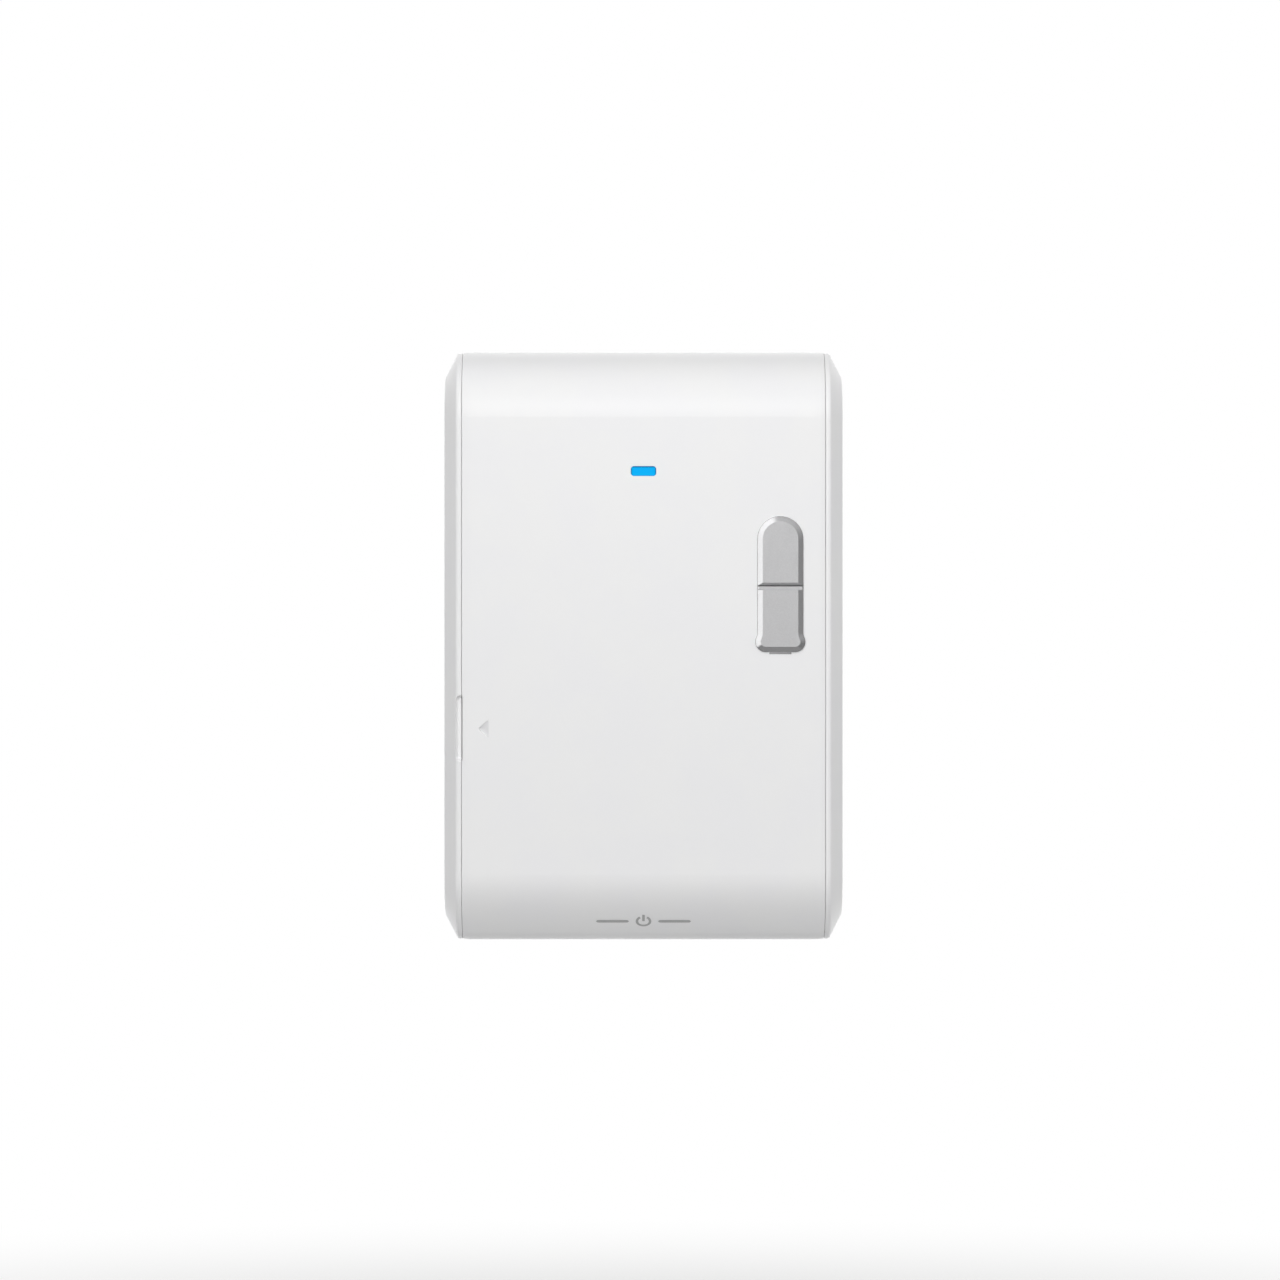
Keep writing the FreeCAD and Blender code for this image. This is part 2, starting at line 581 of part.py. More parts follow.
def deck_posts():
    """Everything that stands on the deck: screw posts, peg sockets, gear bosses, saddles and rod blocks."""
    pieces = [saddle(-1), saddle(1)]
    for spot in rear_screw_spots:
        pieces.append(rod_y(spot, 3.0, deck_back_y - 0.5, rear_cover_y))
    for spot in peg_spots:
        pieces.append(rod_y(spot, PEG_RADIUS + 1.4, deck_front_y + 0.5, deck_front_y - 8.5))
    for spot in gearbox_screw_spots:
        pieces.append(rod_y(spot, POST_RADIUS, deck_front_y + 0.5, gearbox_back_y))
    for spot in board_screw_spots + guide_screw_spots:
        pieces.append(rod_y(spot, POST_RADIUS, deck_front_y + 0.5, board_back_y))
    for spot in frame_screw_spots:
        pieces.append(rod_y(spot, 2.0, deck_back_y - 0.5, deck_back_y + 4.0))
    for spot in motor_bracket_spots:
        pieces.append(rod_y(spot, 1.9, deck_front_y + 0.5, motor_front_y))
    pieces.append(rod_y(second_axle, 1.9, deck_front_y + 0.5, layer_y[0] + 0.2))
    pieces.append(rod_y(first_axle, 1.9, deck_front_y + 0.5, layer_y[1] + 0.2))
    for side in (-1, 1):
        pieces.append(rod_y((0, side * plate_screw_z), PLATE_BOSS_RADIUS, deck_front_y, rear_cover_y))
        for end in (-1, 1):
            pieces.append(box(side * ROD_X - 2.2, side * ROD_X + 2.2, deck_back_y - 0.5, -ROD_DEPTH + 2.2,
                              end * (ROD_HALF_LENGTH - 3.0), end * ROD_HALF_LENGTH))
    return pieces


def chassis():
    """Deck that carries the drive, the board and the cells. The plate screws clamp it to the wall."""
    reach_x, reach_z = inner_x - FREE, half_height - COVER_WALL - SEAM - LEDGE_THICKNESS - FREE
    deck = plate_y(rectangle(-reach_x, reach_x, -reach_z, reach_z, 1.0), deck_back_y, deck_front_y)
    solid = join(deck, *deck_posts())
    cuts = []
    for side in (-1, 1):
        spot = (0, side * plate_screw_z)
        cuts.append(rod_y(spot, PLATE_SCREW_HOLE_RADIUS, deck_front_y - 1, 1))
        cuts.append(rod_y(spot, PLATE_SCREW_HEAD_RADIUS, deck_front_y - 1, deck_front_y + PLATE_SCREW_HEAD_DEPTH))
        cuts.append(rod_z(side * ROD_X, -ROD_DEPTH, ROD_RADIUS + FIT, -ROD_HALF_LENGTH - 1, ROD_HALF_LENGTH + 1))
    for spot in rear_screw_spots:
        cuts.append(rod_y(spot, SCREW_RADIUS, rear_cover_y + 1, rear_cover_y - 8.0))
    for spot in chassis_screw_spots:
        cuts.append(rod_y(spot, SCREW_RADIUS + FREE, deck_front_y - 1, deck_back_y + 1))
    for spot in peg_spots:
        cuts.append(rod_y(spot, PEG_RADIUS + AXLE_CLEARANCE, deck_front_y, deck_front_y - 9.0))
    for spot in gearbox_screw_spots:
        cuts.append(rod_y(spot, SCREW_RADIUS, gearbox_back_y - 1, gearbox_back_y + 6.0))
    for spot in board_screw_spots + guide_screw_spots:
        cuts.append(rod_y(spot, SCREW_RADIUS, board_back_y - 1, board_back_y + 5.0))
    for spot in frame_screw_spots:
        cuts.append(rod_y(spot, SCREW_RADIUS, deck_front_y - 1, deck_back_y + 3.0))
    for spot in motor_bracket_spots:
        cuts.append(rod_y(spot, 0.8, motor_front_y - 1, motor_front_y + 3.6))
    cuts.append(rod_y(output_axle, rack_pitch_radius + 1.2 + 0.08, deck_front_y - 1, deck_back_y + 1))
    for spot in (second_axle, first_axle):
        cuts.append(rod_y(spot, AXLE_RADIUS + FIT, deck_front_y - 6, deck_back_y + 1))
    x, z = motor_axle
    cuts.append(box(x - MOTOR_WIDTH / 2 - 0.15, x + MOTOR_WIDTH / 2 + 0.15, deck_front_y - 1, deck_back_y + 1,
                    z - MOTOR_HEIGHT / 2 - 0.15, z + MOTOR_HEIGHT / 2 + 0.15))
    cuts.append(plate_y(rectangle(x - 3.8, x + 6.5, motor_lead_z - 2.2, motor_lead_z + 2.2, 2.0),
                        deck_front_y - 1, deck_back_y + 1))
    return solid.cut(cuts).removeSplitter()


def main_housing():
    """Outer ring of the casing: two cheeks with their rails, two end walls, and four bosses for the chassis."""
    right = cheek()
    left = right.mirror(vec(0, 0, 0), vec(1, 0, 0))
    bosses = []
    for x, z in chassis_screw_spots:
        wall_x = math.copysign(inner_x + 0.5, x)
        bosses.append(rod_y((x, z), POST_RADIUS, deck_front_y, deck_front_y - 5.0))
        bosses.append(box(x, wall_x, deck_front_y, deck_front_y - 5.0, z - 1.6, z + 1.6))
    cuts = [rod_y(spot, SCREW_RADIUS, deck_front_y + 1, deck_front_y - 4.5) for spot in chassis_screw_spots]
    cuts.append(box(-inner_x, inner_x, rear_cover_y, 1, -inner_z, inner_z))
    cuts.append(thumb_scoop())
    return join(right, left, end_wall(1), end_wall(-1), *bosses).cut(cuts).removeSplitter()


def thumb_scoop():
    """Finger notch in the left rail, open to the seam: flat floor, sloped outer wall and sloped round ends."""
    above = 0.6
    outlines = []
    for level in (SCOOP_DEPTH, -above):
        out = (SCOOP_DEPTH - level) * SCOOP_SLOPE
        left, half = -rail_x - SCOOP_FLOOR - out, SCOOP_LENGTH / 2 - 0.4 + out
        radius = 0.7 + out * 0.8
        corners = [(left, ARROW_Z - half, radius), (-rail_x + 0.5, ARROW_Z - half), (-rail_x + 0.5, ARROW_Z + half),
                   (left, ARROW_Z + half, radius)]
        outlines.append(rounded_wire(corners, lambda a, b, y=rail_y + level: vec(a, y, b)))
    return Part.makeLoft(outlines, True, True)


def keys_outline(inset, split_inset, part, y):
    """Closed wire of a key's outline at depth y, drawn in by inset. part is upper, lower or both."""
    half = KEY_HALF_WIDTH - inset
    split = KEY_SPLIT_Z
    swing = math.degrees(math.acos(1 - KEY_FLARE / 2 / KEY_FLARE_RADIUS))
    rise = 2 * KEY_FLARE_RADIUS * math.sin(math.radians(swing))
    waist_z = KEY_FLARE_Z + rise
    outer = KEY_HALF_WIDTH + KEY_FLARE_RADIUS
    foot = KEY_HALF_WIDTH + KEY_FLARE - KEY_FLARE_RADIUS
    top = arc_xz((key_x, key_top_z - KEY_HALF_WIDTH), half, 0, 180, y)
    foot_edges = [
        arc_xz((key_x - outer, waist_z), KEY_FLARE_RADIUS + inset, 0, -swing, y),
        arc_xz((key_x - foot, KEY_FLARE_Z), KEY_FLARE_RADIUS - inset, 180 - swing, 270, y),
        arc_xz((key_x + foot, KEY_FLARE_Z), KEY_FLARE_RADIUS - inset, 270, 360 + swing, y),
        arc_xz((key_x + outer, waist_z), KEY_FLARE_RADIUS + inset, 180 + swing, 180, y)]
    if part == "both":
        return wire_of([top] + foot_edges)
    if part == "upper":
        z = split + KEY_SPLIT_GAP / 2 + split_inset
        return wire_of([top, Part.makeLine(vec(key_x - half, y, z), vec(key_x + half, y, z))])
    z = split - KEY_SPLIT_GAP / 2 - split_inset
    return wire_of([Part.makeLine(vec(key_x + half, y, z), vec(key_x - half, y, z))] + foot_edges)


def key(part):
    """Push key: bevelled pad, flange behind the cover, plunger, and two hooks that hold it in the guide. The lower key
    has a low step along its top, so that the upper key's foot stands clear of it."""
    skirt_y = face_y - KEY_STAND
    top_y = skirt_y - KEY_BEVEL_HEIGHT
    base = Part.Face(keys_outline(0.0, 0.0, part, key_flange_front_y))
    skirt = base.extrude(vec(0, skirt_y - key_flange_front_y, 0))
    bevel = Part.makeLoft([keys_outline(0.0, 0.0, part, skirt_y),
                           keys_outline(KEY_BEVEL, KEY_SPLIT_BEVEL if part == "upper" else 0.0, part, top_y)],
                          True, True)
    low = KEY_SPLIT_Z + KEY_SPLIT_GAP / 2 if part == "upper" else key_bottom_z - KEY_FLANGE
    high = key_top_z + KEY_FLANGE if part == "upper" else KEY_SPLIT_Z - KEY_SPLIT_GAP / 2
    wide = KEY_HALF_WIDTH + KEY_FLARE + KEY_FLANGE
    flange = plate_y(rectangle(key_x - wide, key_x + wide, low, high), key_flange_front_y, key_flange_back_y)
    spot = tact_spots[part]
    pieces = [skirt, bevel, flange, rod_y(spot, 1.9, key_flange_back_y, plunger_top_y)]
    hook_back = guide_front_y + 1.2
    for side in (-1, 1):
        x = spot[0] + side * 3.9
        pieces.append(box(x - 0.5, x + 0.5, key_flange_back_y, hook_back + 0.75, spot[1] - 1.5, spot[1] + 1.5))
        pieces.append(box(x, x + side * 0.9, hook_back + 0.12, hook_back + 0.75, spot[1] - 1.5, spot[1] + 1.5))
    solid = join(*pieces)
    if part == "upper":
        return solid
    ledge_z, ledge_y = KEY_SPLIT_Z - KEY_LEDGE, top_y + KEY_LEDGE_DROP
    step = box(key_x - wide, key_x + wide, top_y - 1, ledge_y, ledge_z, KEY_SPLIT_Z + 1)
    crease = box(key_x - wide, key_x + wide, top_y - 1, ledge_y + KEY_CREASE, ledge_z, ledge_z + KEY_CREASE)
    return solid.cut([step, crease])


def key_guide():
    """Plate behind the keys that guides their plungers and hooks, on four legs that stand on the board."""
    spots = guide_screw_spots + guide_leg_spots
    left, right = key_x - 7.1, key_x + 7.1
    low, high = min(z for _, z in spots) - 1.9, max(z for _, z in spots) + 1.9
    back = guide_front_y + 1.2
    solid = join(plate_y(rectangle(left, right, low, high, 1.5), guide_front_y, back),
                 *[rod_y(s, 1.8, back - 0.2, board_front_y) for s in spots])
    cuts = [rod_y(s, SCREW_RADIUS + FREE, guide_front_y - 1, board_front_y + 1) for s in guide_screw_spots]
    for spot in tact_spots.values():
        cuts.append(rod_y(spot, 1.9 + FREE, guide_front_y - 1, back + 1))
        for side in (-1, 1):
            x = spot[0] + side * 3.9
            cuts.append(box(x - 0.5 - 0.15, x + 0.5 + 0.15, guide_front_y - 1, back + 1,
                            spot[1] - 1.65, spot[1] + 1.65))
    return solid.cut(cuts)


def light_pipe():
    """Blue window and its stem, which carries light from the board's diode to the face."""
    front = face_y + LIGHT_RECESS
    window = plate_y(light_outline(0.0), front, cover_inner_y)
    flange = plate_y(rectangle(-3.6, 3.6, light_z - 2.0, light_z + 2.0, 0.8), cover_inner_y, cover_inner_y + 0.8)
    stem_end = board_front_y - LED_SIZE[2] - 0.5
    stem = plate_y(rectangle(-1.9, 1.9, light_z - 0.9, light_z + 0.9, 0.3), cover_inner_y + 0.8, stem_end)
    return join(window, flange, stem)


def light_outline(gap):
    half_w, half_h = LIGHT_WIDTH / 2 + gap, LIGHT_HEIGHT / 2 + gap
    return rectangle(-half_w, half_w, light_z - half_h, light_z + half_h, LIGHT_CORNER + gap)


def release_arrow():
    """Cutter for the triangle that points at the thumb scoop: a sloped pocket, deepest at its lower left."""
    half = ARROW_HEIGHT / 2
    tip_x, base_x = ARROW_X - ARROW_WIDTH / 2, ARROW_X + ARROW_WIDTH / 2
    corners = [(tip_x, ARROW_Z, 0.3), (base_x, ARROW_Z - half, 0.3), (base_x, ARROW_Z + half, 0.3)]
    cutter = plate_y(corners, face_y, face_y - 2.0)
    cutter.rotate(vec(base_x, face_y, ARROW_Z + half), vec(1, 0, 0), ARROW_DIP)
    cutter.rotate(vec(base_x, face_y, ARROW_Z + half), vec(0, 0, 1), -ARROW_TILT)
    return cutter


def front_cover():
    """U-shaped shell: flat face, round ends, soft rolled long edges, openings, and four friction pegs."""
    edge, roll = seam_x, seam_x - COVER_ROLL_WIDTH
    section = [(-edge, COVER_PROUD, 0.15), (-roll, 0.0, COVER_ROLL_RADIUS), (roll, 0.0, COVER_ROLL_RADIUS),
               (edge, COVER_PROUD, 0.15), (edge, COVER_WALL), (-edge, COVER_WALL)]
    solid = carry_round_casing(section, -COVER_REACH)
    pegs = []
    for x, z in peg_spots:
        depth = abs(z) - corner_z
        inner = corner_y - math.sqrt((CORNER_RADIUS - COVER_WALL) ** 2 - max(depth, 0.0) ** 2)
        pegs.append(rod_y((x, z), PEG_RADIUS, inner - 0.6, deck_front_y - 2.0))
        pegs.append(rod_y((x, z), PEG_RADIUS + PEG_BOSS, inner - 0.6, deck_front_y - 8.5 - 1.0))
    ribs = []
    for z in (light_z + 8.0, bay_top_z + 4.5):
        ribs.append(box(-seam_x + 6.0, seam_x - 6.0, cover_inner_y - 0.2, cover_inner_y + 1.0, z - 0.5, z + 0.5))
    solid = join(solid, *pegs, *ribs)
    opening = Part.Face(keys_outline(-KEY_GAP, 0.0, "both", face_y - 1.0)).extrude(vec(0, 4.0, 0))
    foot = box(key_x - FOOT_SLOT_WIDTH / 2, key_x + FOOT_SLOT_WIDTH / 2, face_y - 1, face_y + FOOT_SLOT_DEPTH,
               key_bottom_z - FOOT_SLOT_HEIGHT, key_bottom_z + 0.5)
    window = plate_y(light_outline(LIGHT_GAP), face_y - 1, cover_inner_y + 1)
    low, high = ARROW_Z - SCOOP_LENGTH / 2, ARROW_Z + SCOOP_LENGTH / 2
    finger_gap = box(-seam_x - 1, -seam_x + SCOOP_GAP, face_y - 1, cover_inner_y + 1, low, high)
    return solid.cut([opening, foot, window, finger_gap, release_arrow()]).removeSplitter()


def rear_cover():
    """Back plate with the opening for the switch's lever, the plate-screw holes and the output axle's boss."""
    reach_x, reach_z = inner_x - FREE, inner_z - FREE
    solid = plate_y(rectangle(-reach_x, reach_x, -reach_z, reach_z, 1.0), rear_cover_y, 0.0)
    boss = rod_y(output_axle, 2.4, rear_cover_y + 0.2, rear_cover_y - 3.5)
    frame_w, frame_h = LEVER_OPENING_WIDTH / 2, LEVER_OPENING_HEIGHT / 2
    collar = plate_y(rectangle(-frame_w - 1.4, frame_w + 1.4, -frame_h - 1.0, frame_h + 1.0, 3.0),
                     rear_cover_y + 0.2, rear_cover_y - LEVER_COLLAR)
    solid = join(solid, boss, collar)
    cuts = [plate_y(rectangle(-frame_w, frame_w, -frame_h, frame_h, 2.5), 1.0, rear_cover_y - 2.0),
            rod_y(output_axle, AXLE_RADIUS + FIT, rear_cover_y, rear_cover_y - 4)]
    for spot in rear_screw_spots:
        cuts.append(rod_y(spot, SCREW_RADIUS + FREE, 1.0, rear_cover_y - 1))
        cuts.append(rod_y(spot, SCREW_HEAD_RADIUS + 0.3, 1.0, -SCREW_HEAD_HEIGHT - 0.1))
    for side in (-1, 1):
        cuts.append(rod_y((0, side * plate_screw_z), PLATE_SCREW_HOLE_RADIUS, 1.0, rear_cover_y - 1))
        cuts.append(plate_y(pad_outline(side), 1.0, -PAD_THICKNESS))
    return solid.cut(cuts)


def pad_outline(side):
    z = side * (half_height - 16.0)
    return rectangle(-24.0, 24.0, z - 4.0, z + 4.0, 2.0)


def wall_pads():
    """Rubber pads, glued flush into shallow pockets, that grip the wall plate."""
    return Part.makeCompound([plate_y(pad_outline(side), 0.0, -PAD_THICKNESS) for side in (1, -1)])


# ---- carriage ----

def carriage():
    """Sliding frame on two rods. Its left runner carries the rack and its middle plate carries the yoke."""
    half = CARRIAGE_HALF_LENGTH
    root_x = rack_x + 1.1 * RACK_MODULE
    back = -ROD_DEPTH + 2.4
    left = box(root_x, -ROD_X + 2.6, carriage_front_y, back, -half, half)
    right = box(ROD_X - 2.6, ROD_X + 2.6, carriage_front_y, back, -half, half)
    plate = box(-ROD_X, ROD_X, carriage_front_y, carriage_back_y, -11.0, 11.0)
    cuts = [rod_z(side * ROD_X, -ROD_DEPTH, ROD_RADIUS + ROD_CLEARANCE, -half - 1, half + 1) for side in (-1, 1)]
    cuts.append(plate_y(rectangle(-LEVER_SLOT_WIDTH / 2 - 0.7, LEVER_SLOT_WIDTH / 2 + 0.7,
                                  -LEVER_SLOT_HEIGHT / 2 - 0.8, LEVER_SLOT_HEIGHT / 2 + 0.8, 1.0),
                        carriage_front_y - 1, carriage_back_y + 1))
    for x, z in yoke_screw_spots():
        cuts.append(rod_y((x, z), SCREW_RADIUS, carriage_front_y - 1, carriage_back_y + 1))
    return join(left, right, plate, rack_teeth(root_x)).cut(cuts)


def rack_teeth(root_x):
    """Rack's teeth on the runner's outer side, with a gap at z 0 for the pinion's tooth."""
    pitch = math.pi * RACK_MODULE
    slope = math.tan(math.radians(PRESSURE_ANGLE))
    half_tooth = (pitch / 2 - BACKLASH) / 2
    tip_x = rack_x - 0.85 * RACK_MODULE
    root_half = half_tooth + slope * (root_x - rack_x)
    tip_half = half_tooth - slope * (rack_x - tip_x)
    count = int((CARRIAGE_HALF_LENGTH - root_half) / pitch - 0.5) + 1
    teeth = []
    for i in range(-count, count):
        z = (i + 0.5) * pitch
        corners = [(root_x + 0.2, z - root_half), (root_x, z - root_half), (tip_x, z - tip_half),
                   (tip_x, z + tip_half), (root_x, z + root_half), (root_x + 0.2, z + root_half)]
        teeth.append(plate_y(corners, -6.8, -11.6))
    return teeth[0].fuse(teeth[1:])


def yoke_screw_spots():
    return [(-6.4, 8.4), (6.4, -8.4)]


def switch_yoke():
    """Two bars that hold the wall switch's lever between them, on a base screwed to the carriage."""
    half_w, half_h = LEVER_SLOT_WIDTH / 2, LEVER_SLOT_HEIGHT / 2
    base_back = carriage_back_y + 2.0
    base = plate_y(rectangle(-9.0, 9.0, -10.6, 10.6, 1.5), carriage_back_y, base_back)
    bars = [plate_y(rectangle(-half_w - 1.8, half_w + 1.8, min(s * half_h, s * (half_h + 2.2)),
                              max(s * half_h, s * (half_h + 2.2)), 0.5), base_back - 0.2, yoke_end_y) for s in (-1, 1)]
    cuts = [plate_y(rectangle(-half_w, half_w, -half_h, half_h, 0.8), carriage_back_y - 1, base_back + 1)]
    cuts += [rod_y(spot, SCREW_RADIUS + FREE, carriage_back_y - 1, base_back + 1) for spot in yoke_screw_spots()]
    return join(base, *bars).cut(cuts)


def guide_rods():
    return Part.makeCompound([rod_z(side * ROD_X, -ROD_DEPTH, ROD_RADIUS, -ROD_HALF_LENGTH, ROD_HALF_LENGTH)
                              for side in (-1, 1)])


# ---- motor ----

def motor_outline(inset, y0, y1):
    """Round can with two flats: a circle of the motor's width, cut to its height."""
    x, z = motor_axle
    can = rod_y(motor_axle, MOTOR_WIDTH / 2 - inset, y0, y1)
    flats = box(x - MOTOR_WIDTH, x + MOTOR_WIDTH, y0, y1, z - MOTOR_HEIGHT / 2 + inset, z + MOTOR_HEIGHT / 2 - inset)
    return can.common(flats)


def motor_can():
    shell = motor_outline(0.0, motor_front_y, -MOTOR_TAIL - 1.6)
    hollow = motor_outline(0.5, motor_front_y + 0.6, -MOTOR_TAIL)
    nose = rod_y(motor_axle, 2.0, motor_front_y + 0.1, motor_front_y - 0.9)
    bore = rod_y(motor_axle, 0.75 + AXLE_CLEARANCE, motor_front_y - 1.5, motor_front_y + 1.0)
    return join(shell.cut(hollow), nose).cut(bore)


def motor_end_cap():
    cap = motor_outline(0.0, -MOTOR_TAIL - 1.6, -MOTOR_TAIL)
    plug = motor_outline(0.55, -MOTOR_TAIL - 2.6, -MOTOR_TAIL - 1.6)
    bush = rod_y(motor_axle, 1.8, -MOTOR_TAIL, -MOTOR_TAIL + 0.8)
    pocket = rod_y(motor_axle, 0.75 + AXLE_CLEARANCE, -MOTOR_TAIL - 3, -MOTOR_TAIL + 0.3)
    tabs = [box(motor_axle[0] + side * 3.6 - 0.7, motor_axle[0] + side * 3.6 + 0.7, -MOTOR_TAIL - 0.1,
                -MOTOR_TAIL + 0.9, motor_axle[1] - 0.2, motor_axle[1] + 0.2) for side in (-1, 1)]
    return join(cap, plug, bush, *tabs).cut(pocket)


def motor_rotor():
    """Armature and commutator inside the can."""
    armature = rod_y(motor_axle, 3.6, motor_front_y + 2.2, -MOTOR_TAIL - 5.0)
    slots = [box(-0.35, 0.35, motor_front_y + 2.0, -MOTOR_TAIL - 4.8, 2.0, 4.0) for _ in range(3)]
    for i, slot in enumerate(slots):
        slot.rotate(vec(0, 0, 0), vec(0, 1, 0), 120 * i)
        slot.translate(vec(motor_axle[0], 0, motor_axle[1]))
    commutator = rod_y(motor_axle, 1.5, -MOTOR_TAIL - 5.0, -MOTOR_TAIL - 3.0)
    return join(armature.cut(slots), commutator).cut(rod_y(motor_axle, 0.75, -1.0, face_y))


def motor_shaft():
    return rod_y(motor_axle, 0.75, -MOTOR_TAIL - 0.1, layer_y[2] - GEAR_FACE - 0.6)


def motor_pinion():
    phase = tooth_on(motor_axle, first_axle)
    teeth = gear_blank(PINION_TEETH, GEAR_MODULE, motor_axle, phase, layer_y[2] + 0.4, layer_y[2] - GEAR_FACE - 0.4)
    return teeth.cut(rod_y(motor_axle, 0.75, -1.0, face_y))


def motor_bracket():
    """Plate across the motor's nose, with two ears screwed to posts of the chassis."""
    x, z = motor_axle
    outlines = [rectangle(x - 6.3, x + 6.3, z - 4.0, z + 4.0, 1.5), rectangle(x - 6.3, x - 1.7, z - 9.4, z, 1.5),
                rectangle(x + 1.7, x + 6.3, z, z + 9.4, 1.5)]
    plate = join(*[plate_y(outline, motor_front_y, motor_front_y - 0.8) for outline in outlines])
    cuts = [rod_y(motor_axle, 2.05, motor_front_y + 1, motor_front_y - 2)]
    cuts += [rod_y(spot, 1.0, motor_front_y + 1, motor_front_y - 2) for spot in motor_bracket_spots]
    return plate.cut(cuts)


def small_screw(spot, head_y, tip_y):
    """Small screw for the motor's bracket."""
    head = rod_y(spot, 1.5, head_y, head_y - 0.7)
    slot = box(spot[0] - 1.2, spot[0] + 1.2, head_y - 0.8, head_y - 0.35, spot[1] - 0.18, spot[1] + 0.18)
    return join(rod_y(spot, 0.8, head_y, tip_y), head.cut(slot))


# ---- cells and contacts ----

def cell(side, z):
    """AA cell with its positive end at side: a can with rounded shoulders and a raised button."""
    shoulder = side * (cell_positive_x - 1.4)
    tail = side * cell_negative_x
    body = rod_x(cell_y, z, CELL_RADIUS, tail, shoulder)
    rims = [e for e in body.Edges if e.Length > 20 and abs(e.CenterOfMass.x) > 1 and len(e.Vertexes) == 1]
    body = body.makeFillet(0.5, rims)
    button = rod_x(cell_y, z, 2.6, shoulder - side * 0.1, side * cell_positive_x)
    return join(body, button)


def contact_plate(side, z_low, z_high, bump_z=None, tab_z=None):
    """Sheet-metal plate on the bay's end wall. bump_z sets a bump for a cell's button, tab_z a lead's tab."""
    wall = side * BAY_HALF_LENGTH
    face = wall - side * CONTACT_THICKNESS
    plate = box(wall, face, deck_front_y, cell_y - 3.4, z_low, z_high)
    if bump_z is not None:
        plate = join(plate, Part.makeCone(3.2, 2.0, CONTACT_BUMP, vec(face, cell_y, bump_z), vec(-side, 0, 0)))
    if tab_z is not None:
        plate = join(plate, box(face, wall + side * (BAY_WALL + 2.2), tab_y, tab_y - CONTACT_THICKNESS,
                                tab_z - CONTACT_TAB / 2, tab_z + CONTACT_TAB / 2))
    return plate


def contact_spring(side, z):
    """Conical compression spring between the contact plate and the cell's flat end."""
    base = vec(side * (BAY_HALF_LENGTH - CONTACT_THICKNESS), cell_y, z)
    outer = Part.makeCone(4.6, 2.6, spring_length(), base, vec(-side, 0, 0))
    return outer.cut(Part.makeCone(3.9, 1.9, spring_length(), base, vec(-side, 0, 0)))


def spring_length():
    return BAY_HALF_LENGTH - CONTACT_THICKNESS + cell_negative_x


# ---- circuit board ----

def main_board():
    outline = rectangle(BOARD_LEFT_X, board_right_x, BOARD_BOTTOM_Z, board_top_z, 1.5)
    solid = plate_y(outline, board_front_y, board_back_y)
    cuts = [rod_y(s, SCREW_RADIUS + 0.15, board_front_y - 1, board_back_y + 1)
            for s in board_screw_spots + guide_screw_spots]
    cuts.append(rod_y((0, plate_screw_z), PLATE_SCREW_HEAD_RADIUS + 0.1, board_front_y - 1, board_back_y + 1))
    return solid.cut(cuts)


def on_board(x0, x1, z0, z1, height, radius=0.0, lift=0.0):
    """Block that stands on the board's component face."""
    return plate_y(rectangle(x0, x1, z0, z1, radius), board_front_y - lift, board_front_y - lift - height)


def radio_module():
    right = board_right_x - 9.0
    board = on_board(right - 20.0, right, board_top_z - 14.0, board_top_z - 1.0, 0.8)
    chip = on_board(right - 4.2, right - 1.4, board_top_z - 9.0, board_top_z - 6.0, 0.7, lift=0.8)
    return join(board, chip)


def radio_shield():
    right = board_right_x - 9.0
    can = on_board(right - 18.8, right - 5.4, board_top_z - 13.2, board_top_z - 1.8, 2.0, 0.6, 0.8)
    hollow = on_board(right - 18.6, right - 5.6, board_top_z - 13.0, board_top_z - 2.0, 1.8, 0.4, 0.8)
    return can.cut(hollow)


def status_led():
    wide, tall, high = LED_SIZE
    return on_board(-wide / 2, wide / 2, light_z - tall / 2, light_z + tall / 2, high)


def tact_switch(part):
    x, z = tact_spots[part]
    half = TACT_SIZE / 2
    body = on_board(x - half, x + half, z - half, z + half, TACT_BODY_HEIGHT - 0.3, 0.4)
    lid = on_board(x - half + 0.2, x + half - 0.2, z - half + 0.2, z + half - 0.2, 0.3, 0.4, TACT_BODY_HEIGHT - 0.3)
    well = rod_y((x, z), TACT_PLUNGER_RADIUS + 0.1, tact_top_y - 1, tact_top_y + 1.5)
    return join(body, lid).cut(well)


def tact_plunger(part):
    return rod_y(tact_spots[part], TACT_PLUNGER_RADIUS, plunger_top_y, tact_top_y + 0.8)


def driver_chip():
    body = on_board(-2.0, 4.0, 14.0, 19.0, 1.4, lift=0.15)
    legs = []
    for i in range(4):
        z = 14.7 + i * 1.2
        legs.append(on_board(-3.0, -1.9, z - 0.2, z + 0.2, 0.5))
        legs.append(on_board(3.9, 5.0, z - 0.2, z + 0.2, 0.5))
    return join(body, *legs)


def reservoir_capacitor():
    spot = (12.0, 6.0)
    base = on_board(spot[0] - 3.3, spot[0] + 3.3, spot[1] - 3.3, spot[1] + 3.3, 0.8, 0.8)
    return join(base, rod_y(spot, 3.1, board_front_y - 0.7, board_front_y - 5.6))


def plug_header(z, wide=7.8):
    """Two-pin wire header at the board's left edge, with the lead's plug in it."""
    x0, x1 = BOARD_LEFT_X + 0.8, BOARD_LEFT_X + 5.8
    shell = on_board(x0, x1, z - wide / 2, z + wide / 2, 6.6, 0.3)
    return shell.cut(on_board(x0 - 1, x1 - 1.2, z - wide / 2 + 0.8, z + wide / 2 - 0.8, 3.0, lift=2.8))


def wire_plug(z, wide=7.8):
    half = wide / 2 - 0.9
    return on_board(plug_left_x, BOARD_LEFT_X + 4.4, z - half, z + half, 2.8, 0.2, 2.9)


